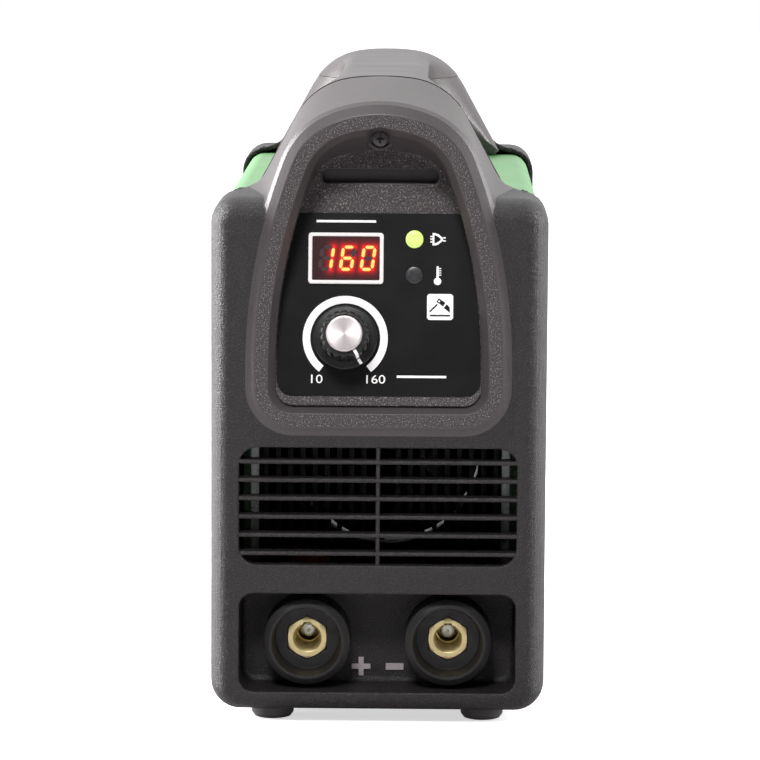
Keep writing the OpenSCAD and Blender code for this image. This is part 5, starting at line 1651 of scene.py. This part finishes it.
rocker_side = [(-13.38, -0.6), (-4, -2.5), (4, -2.5), (13.38, -0.6)]
ROCKER_REACH = 11.6
face_places = [ROCKER_REACH * math.cos(math.pi * k / 20) for k in range(21)]
rocker_face = [(v, 5.85 + 1.05 * (v / ROCKER_REACH) ** 2) for v in face_places]
rocker_side = rocker_side + [(13.3, 1.4), (12.9, 3.4),
                             (12.3, 5.2)] + rocker_face + [(-12.3, 5.2), (-12.9, 3.4), (-13.3, 1.4)]
rocker_rings = rocker_skin.loft([[rocker_point(u, v * k, h * k) for v, h in rocker_side]
                                 for u, k in ((-8.7, 0.965), (-8.3, 1.0), (8.3, 1.0), (8.7, 0.965))])
for ring in (rocker_rings[0], rocker_rings[-1]):
    rocker_skin.fill(ring, axes=(1, 2))
for side in (-1, 1):
    stub = rocker_skin.loft([[rocker_point(side * u, 1.45 * math.cos(a), 1.45 * math.sin(a))
                              for a in (2 * math.pi * i / 24 for i in range(24))] for u in (8.6, 10.4)])
    for ring in stub:
        rocker_skin.fill(ring, axes=(1, 2))
seat(build(rocker_skin, "red_rocker", [rocker_red]), "rocker", "rocker_red", "switch_rocker")

# %% Cable gland
gland_place = backward(GLAND[0], REAR_PANEL_Y, GLAND[1])
gland_skin = Skin()
gland_rings = turned(gland_skin,
                     [(7.5, -13, None), (10, -13, None), (10, 0.02, None), (13.3, 0.02, 24), (13.86, 0.5, 24),
                                  (13.86, 5.5, 24), (13.2, 6.0, 24), (9.4, 6.05, None), (9.4, 11.9, None),
                      (7.5, 11.95, None)],
                     gland_place)
gland_skin.band(gland_rings[-1], gland_rings[0])
seat(build(gland_skin, "gland_base", [gland_nylon]), "housing", "gland_nylon", "gland_body")
CAP_FOOT, CAP_TOP = 6.2, 23.62
cap_skin = Skin()
cap_rings = turned(cap_skin, [(9.5, CAP_FOOT, None), (12.4, CAP_FOOT, 22.5), (12.99, CAP_FOOT + 0.5, 22.5),
                              (12.99, CAP_FOOT + 9.0, 22.5), (12.2, CAP_FOOT + 9.6, 22.5),
                              (11.0, CAP_FOOT + 9.9, None),
                              (10.2, CAP_FOOT + 11.5, None), (8.7, CAP_TOP - 0.7, None),
                              (8.1, CAP_TOP - 0.15, None),
                              (7.7, CAP_TOP, None), (7.2, CAP_TOP - 0.1, None), (7.0, CAP_TOP - 0.4, None),
                              (7.0, CAP_FOOT + 8, None), (9.5, CAP_FOOT + 7, None)], gland_place)
cap_skin.band(cap_rings[-1], cap_rings[0])
seat(build(cap_skin, "gland_clamp", [gland_nylon]), "housing", "gland_nylon", "gland_cap")

# %% Earth screw
earth_place = backward(0, REAR_PANEL_Y + 0.1, EARTH_Z)
earth_skin = Skin()
washer = turned(earth_skin, [(3.05, 0, None), (6.3, 0, None), (6.5, 0.2, None), (6.5, 1.0, None),
                             (6.3, 1.2, None), (3.05, 1.2, None)],
                earth_place, 48)
earth_skin.band(washer[-1], washer[0])
turned(earth_skin, [(0.01, -12, None), (2.9, -12, None), (2.9, -7.6, None), (5.2, -7.58, 10),
                    (5.77, -7.2, 10), (5.77, -2.9, 10),
                    (5.2, -2.6, 10), (2.9, -2.58, None), (2.9, 1.3, None), (5.2, 1.31, 10), (5.77, 1.7, 10),
                    (5.77, 4.9, 10),
                    (5.2, 5.3, 10), (2.9, 5.31, None), (2.9, 4.6, None), (2.6, 5.0, None), (0.01, 5.0, None)],
       earth_place, 48)
seat(build(earth_skin, "earth_stud", [turned_brass]), "housing", "contact_brass", "earth_screw")

# %% [markdown]
# ## Fan
# The guard is bright wire: rings welded to four arms whose ends are bent into eyes for the screws.
# A node tree sweeps one round wire along circles and arms. The rotor behind it rides on the fan's
# own body: seven wide blades whose pitch grows towards the hub, so they nearly close the view.

# %% Guard tree
guard, given = new_tree("wire_guard", Rings="count", First="mm", Step="mm", Arm_Start="mm", Arm_End="mm",
                        Eye_At="mm",
                        Eye_Radius="mm", Wire_Radius="mm", Finish="finish")
ring_number = add(guard, "GeometryNodeInputIndex")
ring_radius = maths(guard, "ADD", given["First"], maths(guard, "MULTIPLY", ring_number, given["Step"]))
ring_points = add(guard, "GeometryNodePoints", {"Count": given["Rings"], "Position": (0, 0, 0)})
unit_ring = add(guard, "GeometryNodeCurvePrimitiveCircle", {"Resolution": 96, "Radius": 1.0})
ring_scale = add(guard, "ShaderNodeCombineXYZ", {"X": ring_radius, "Y": ring_radius, "Z": 1.0})
ring_set = add(guard, "GeometryNodeInstanceOnPoints",
               {"Points": ring_points, "Instance": unit_ring, "Scale": ring_scale})
arm_points = add(guard, "GeometryNodePoints", {"Count": 4, "Position": (0, 0, 0)})
arm_line = add(guard, "GeometryNodeCurvePrimitiveLine", {
    "Start": add(guard, "ShaderNodeCombineXYZ", {"X": given["Arm_Start"]}),
    "End": add(guard, "ShaderNodeCombineXYZ", {"X": given["Arm_End"]})})
eye = add(guard, "GeometryNodeCurvePrimitiveCircle", {"Resolution": 32, "Radius": given["Eye_Radius"]})
eye_there = add(guard, "GeometryNodeTransform", {
    "Geometry": eye, "Translation": add(guard, "ShaderNodeCombineXYZ", {"X": given["Eye_At"]})})
arm = add(guard, "GeometryNodeJoinGeometry", {0: arm_line})
guard.links.new(eye_there.outputs[0], arm.inputs[0])
arm_number = add(guard, "GeometryNodeInputIndex")
arm_turn = maths(guard, "ADD", maths(guard, "MULTIPLY", arm_number, math.pi / 2), math.pi / 4)
arm_set = add(guard, "GeometryNodeInstanceOnPoints", {
    "Points": arm_points, "Instance": arm, "Rotation": add(guard, "ShaderNodeCombineXYZ", {"Z": arm_turn})})
wires = add(guard, "GeometryNodeJoinGeometry", {0: ring_set})
guard.links.new(arm_set.outputs[0], wires.inputs[0])
paths = add(guard, "GeometryNodeRealizeInstances", {0: wires})
section = add(guard, "GeometryNodeCurvePrimitiveCircle", {"Resolution": 12, "Radius": given["Wire_Radius"]})
welded = add(guard, "GeometryNodeCurveToMesh", {"Curve": paths, "Profile Curve": section, "Fill Caps": True})
rounded = add(guard, "GeometryNodeSetShadeSmooth", {0: welded})
guard_aim = add(guard, "GeometryNodeInputNamedAttribute", {"Name": "aim"}, data_type="FLOAT_VECTOR")
guard_facing = add(guard, "FunctionNodeAlignRotationToVector", {"Vector": guard_aim}, axis="Z")
set_up = add(guard, "GeometryNodeInstanceOnPoints",
             {"Points": given["Seed"], "Instance": rounded, "Rotation": guard_facing})
end_tree(guard, set_up, given["Finish"])
grow("bright_guard", guard, [(0, -FACE_Y + 1.0, FAN_Z)], "housing", "bright_wire", ["fan_guard"],
     aims=[(0, 1, 0)],
     Rings=5, First=12 * MM, Step=7.8 * MM, Arm_Start=11 * MM, Arm_End=54.6 * MM, Eye_At=58.34 * MM,
     Eye_Radius=3.4 * MM,
     Wire_Radius=0.9 * MM, Finish=nickel_wire)

# %% Fan rotor
FAN_FRONT_Y = 126.4
HUB_R, BLADE_R, BLADES = 18.5, 42.3, 7
fan_place = backward(0, FAN_FRONT_Y, FAN_Z)
hub_skin = Skin()
spun(hub_skin, [(1.5, 1.1), (1.5, 3.3), (HUB_R - 0.4, 3.3), (HUB_R, 3.7), (HUB_R, 21.6), (HUB_R - 0.3, 22.6),
                (HUB_R - 1.4, 23.2), (0.01, 23.2)], 96, place=fan_place, closed_ends=(True, False))
hub = build(hub_skin, "fan_hub", [fan_pbt])
blade_skin = Skin()
for blade in range(BLADES):
    rows = []
    for i in range(11):
        share = i / 10
        radius = HUB_R - 0.6 + (BLADE_R - HUB_R + 0.6) * share
        row = []
        for k in range(13):
            along = k / 12
            a = 2 * math.pi * blade / BLADES + math.radians(64 * along + 14 * share
                                                            + 5 * math.sin(math.pi * along))
            height = 4.4 + (17.0 - 2.5 * share) * along + 1.0 * share
            row.append(fan_place(radius * math.cos(a), radius * math.sin(a), height))
        rows.append(row)
    blade_skin.loft(rows, closed=False)
blades = build(blade_skin, "fan_blades", [fan_pbt], wall=1.5)
rotor = join("fan_wheel", [hub, blades])
seat(rotor, "fan", "fan_plastic", "fan_rotor")

# %% [markdown]
# ## Parts that keep their CAD form
# The inner parts are seen only through the louvres and the fan. They keep the CAD model's form and
# get their finishes here. The heatsinks are black anodised, which radiates heat better and leaves
# the inside of the machine dark.

# %% Finishes for the CAD parts
anodised = common_finish("black_anodised_aluminium", "#232224", "#1b1a1c", 2, (0.45, 0.6), 0.02, 0.6,
                         streak=(1, 0.05, 1))
# Painted shade: the base pan's galvanised steel gets a far darker tone than it has, so the inside seen
# through the louvres stays dark.
galvanised_painted_shade = common_finish("galvanised_steel_painted_shade", "#4a4c4e", "#393b3d", 9, (0.45, 0.6), 0.02, 1.5,
                           metallic=1.0)
cad_finishes = {
    galvanised_painted_shade: ["base_pan"],
    zinc_plate: ["board_posts", "pot_shaft", "pot_body", "pot_nut", "switch_terminals"],
    moulded_rubber: ["gland_seal"],
    white_abs: ["display_module"],
    inner_finishes["green_circuit_board"]: ["control_board", "power_board"],
    socket_nylon: ["socket_ring_nuts"],
    inner_finishes["rolled_copper"]: ["busbar_plus", "busbar_minus", "choke_winding"],
    inner_finishes["winding_tape"]: ["transformer_winding"],
    fan_pbt: ["fan_frame"],
    gland_nylon: ["gland_locknut"],
    anodised: ["heatsink_left", "heatsink_right"],
    inner_finishes["black_epoxy"]: ["power_transistors", "bridge_rectifier"],
    inner_finishes["blue_capacitor_sleeve"]: ["bus_capacitors"],
    inner_finishes["sintered_ferrite"]: ["transformer_core", "choke_core"],
    inner_finishes["wire_insulation"]: ["mains_wires"],
    inner_finishes["grey_ribbon"]: ["control_ribbon"],
}
for finish, names in cad_finishes.items():
    for name in names:
        for holder in cad[name].material_slots:
            holder.material = finish
replaced = {node for piece in scene.objects for node in piece.get("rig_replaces", [])}
kept = {name for names in cad_finishes.values() for name in names}
print("replaced:", len(replaced), "kept:", len(kept), "missing:", sorted(set(cad) - replaced - kept),
      "twice:", sorted(replaced & kept))

# %% [markdown]
# ## Stage, light and camera
# The machine stands on a plain white floor. The room is bright behind the machine and dark in front
# of it, so the rounded edges of the case shine while its face stays black. A weak softbox hangs
# above and behind, two long ones stand at the sides and draw the bright edges, and a small one high
# in front lights the hood. The camera only ever sees the room and the floor as white. It has a long
# lens a little above the middle of the machine, so upright edges stay nearly parallel.

# %% Floor and room
paper, paper_tree = new_finish("matt_white_paper")
paper_shader = add(paper_tree, "ShaderNodeBsdfDiffuse", {"Color": linear("#ffffff")})
paper_glow = add(paper_tree, "ShaderNodeEmission", {"Color": linear("#ffffff"), "Strength": 0.6})
paper_lit = add(paper_tree, "ShaderNodeAddShader", {0: paper_shader, 1: paper_glow})
paper_shade = add(paper_tree, "ShaderNodeBsdfDiffuse", {"Color": linear("#b4b1b2")})
paper_seen = add(paper_tree, "ShaderNodeLightPath").outputs["Is Camera Ray"]
paper_mix = add(paper_tree, "ShaderNodeMixShader", {0: paper_seen, 1: paper_shade, 2: paper_lit})
add(paper_tree, "ShaderNodeOutputMaterial", {"Surface": paper_mix})
floor_mesh = bpy.data.meshes.new("floor")
reach = 6.0
floor_mesh.from_pydata([(-reach, -reach, 0), (reach, -reach, 0), (reach, reach, 0), (-reach, reach, 0)], [],
                       [(0, 1, 2, 3)])
floor_mesh.materials.append(paper)
floor = bpy.data.objects.new("floor", floor_mesh)
scene.collection.objects.link(floor)

room = bpy.data.worlds.new("white_room")
room.use_nodes = True
room.node_tree.nodes.clear()
air = add(room.node_tree, "ShaderNodeTexCoord").outputs["Generated"]
toward = add(room.node_tree, "ShaderNodeSeparateXYZ", {0: air})
depth_light = add(room.node_tree, "ShaderNodeMapRange",
                  {0: toward.outputs["Y"], 1: -0.9, 2: 0.5, 3: 0.04, 4: 0.92})
height_light = add(room.node_tree, "ShaderNodeMapRange",
                   {0: toward.outputs["Z"], 1: 0.1, 2: 0.9, 3: 0.0, 4: 0.3})
room_light = add(room.node_tree, "ShaderNodeMath", {0: depth_light, 1: height_light}, operation="ADD")
seen = add(room.node_tree, "ShaderNodeLightPath").outputs["Is Camera Ray"]
strength = add(room.node_tree, "ShaderNodeMix", {0: seen, 2: room_light, 3: 1.0})
sky = add(room.node_tree, "ShaderNodeBackground", {"Color": linear("#ffffff"), "Strength": strength})
add(room.node_tree, "ShaderNodeOutputWorld", {"Surface": sky})
scene.world = room
scene.view_settings.view_transform = "Standard"
print("floor", reach * 2, "m square, room brightness", 1.0)

# %% Softboxes


def softbox(name, width, height, watts, place, target):
    """A rectangular light that looks at a target."""
    light = bpy.data.lights.new(name, "AREA")
    light.shape = "RECTANGLE"
    light.size, light.size_y = width, height
    light.energy = watts
    lamp = bpy.data.objects.new(name, light)
    lamp.location = place
    lamp.rotation_euler = (Vector(target) - Vector(place)).to_track_quat("-Z", "Y").to_euler()
    scene.collection.objects.link(lamp)
    print(f"{name}: {width} x {height} m, {watts} W")
    return lamp


middle = (0, 0, 0.14)
softbox("top_softbox", 1.2, 0.9, 1.8, (0, 0.55, 1.15), middle)
softbox("left_softbox", 0.4, 1.1, 48, (-1.1, 0.2, 0.35), middle)
softbox("right_softbox", 0.4, 1.1, 19, (1.1, 0.1, 0.35), middle)
softbox("front_top_softbox", 0.4, 0.3, 16, (-0.2, -1.3, 1.35), middle)

# %% Camera
lens = bpy.data.cameras.new("camera")
lens.lens = 188.7
lens.sensor_width = 36
lens.clip_end = 30
camera = bpy.data.objects.new("camera", lens)
scene.collection.objects.link(camera)
down, turn, lean = (math.radians(a) for a in (7.51, -0.76, 0.34))
ahead = Vector((math.sin(turn) * math.cos(down), math.cos(turn) * math.cos(down), -math.sin(down)))
level = Vector((math.cos(turn), -math.sin(turn), 0))
above = level.cross(ahead)
across = math.cos(lean) * level + math.sin(lean) * above
upright = -math.sin(lean) * level + math.cos(lean) * above
axes = Matrix((across, upright, -ahead)).transposed().to_4x4()
camera.matrix_world = Matrix.Translation(Vector((20.7, -1671.6, 335.4)) * MM) @ axes
scene.camera = camera
print("camera", [round(v, 3) for v in camera.location], "lens", lens.lens)
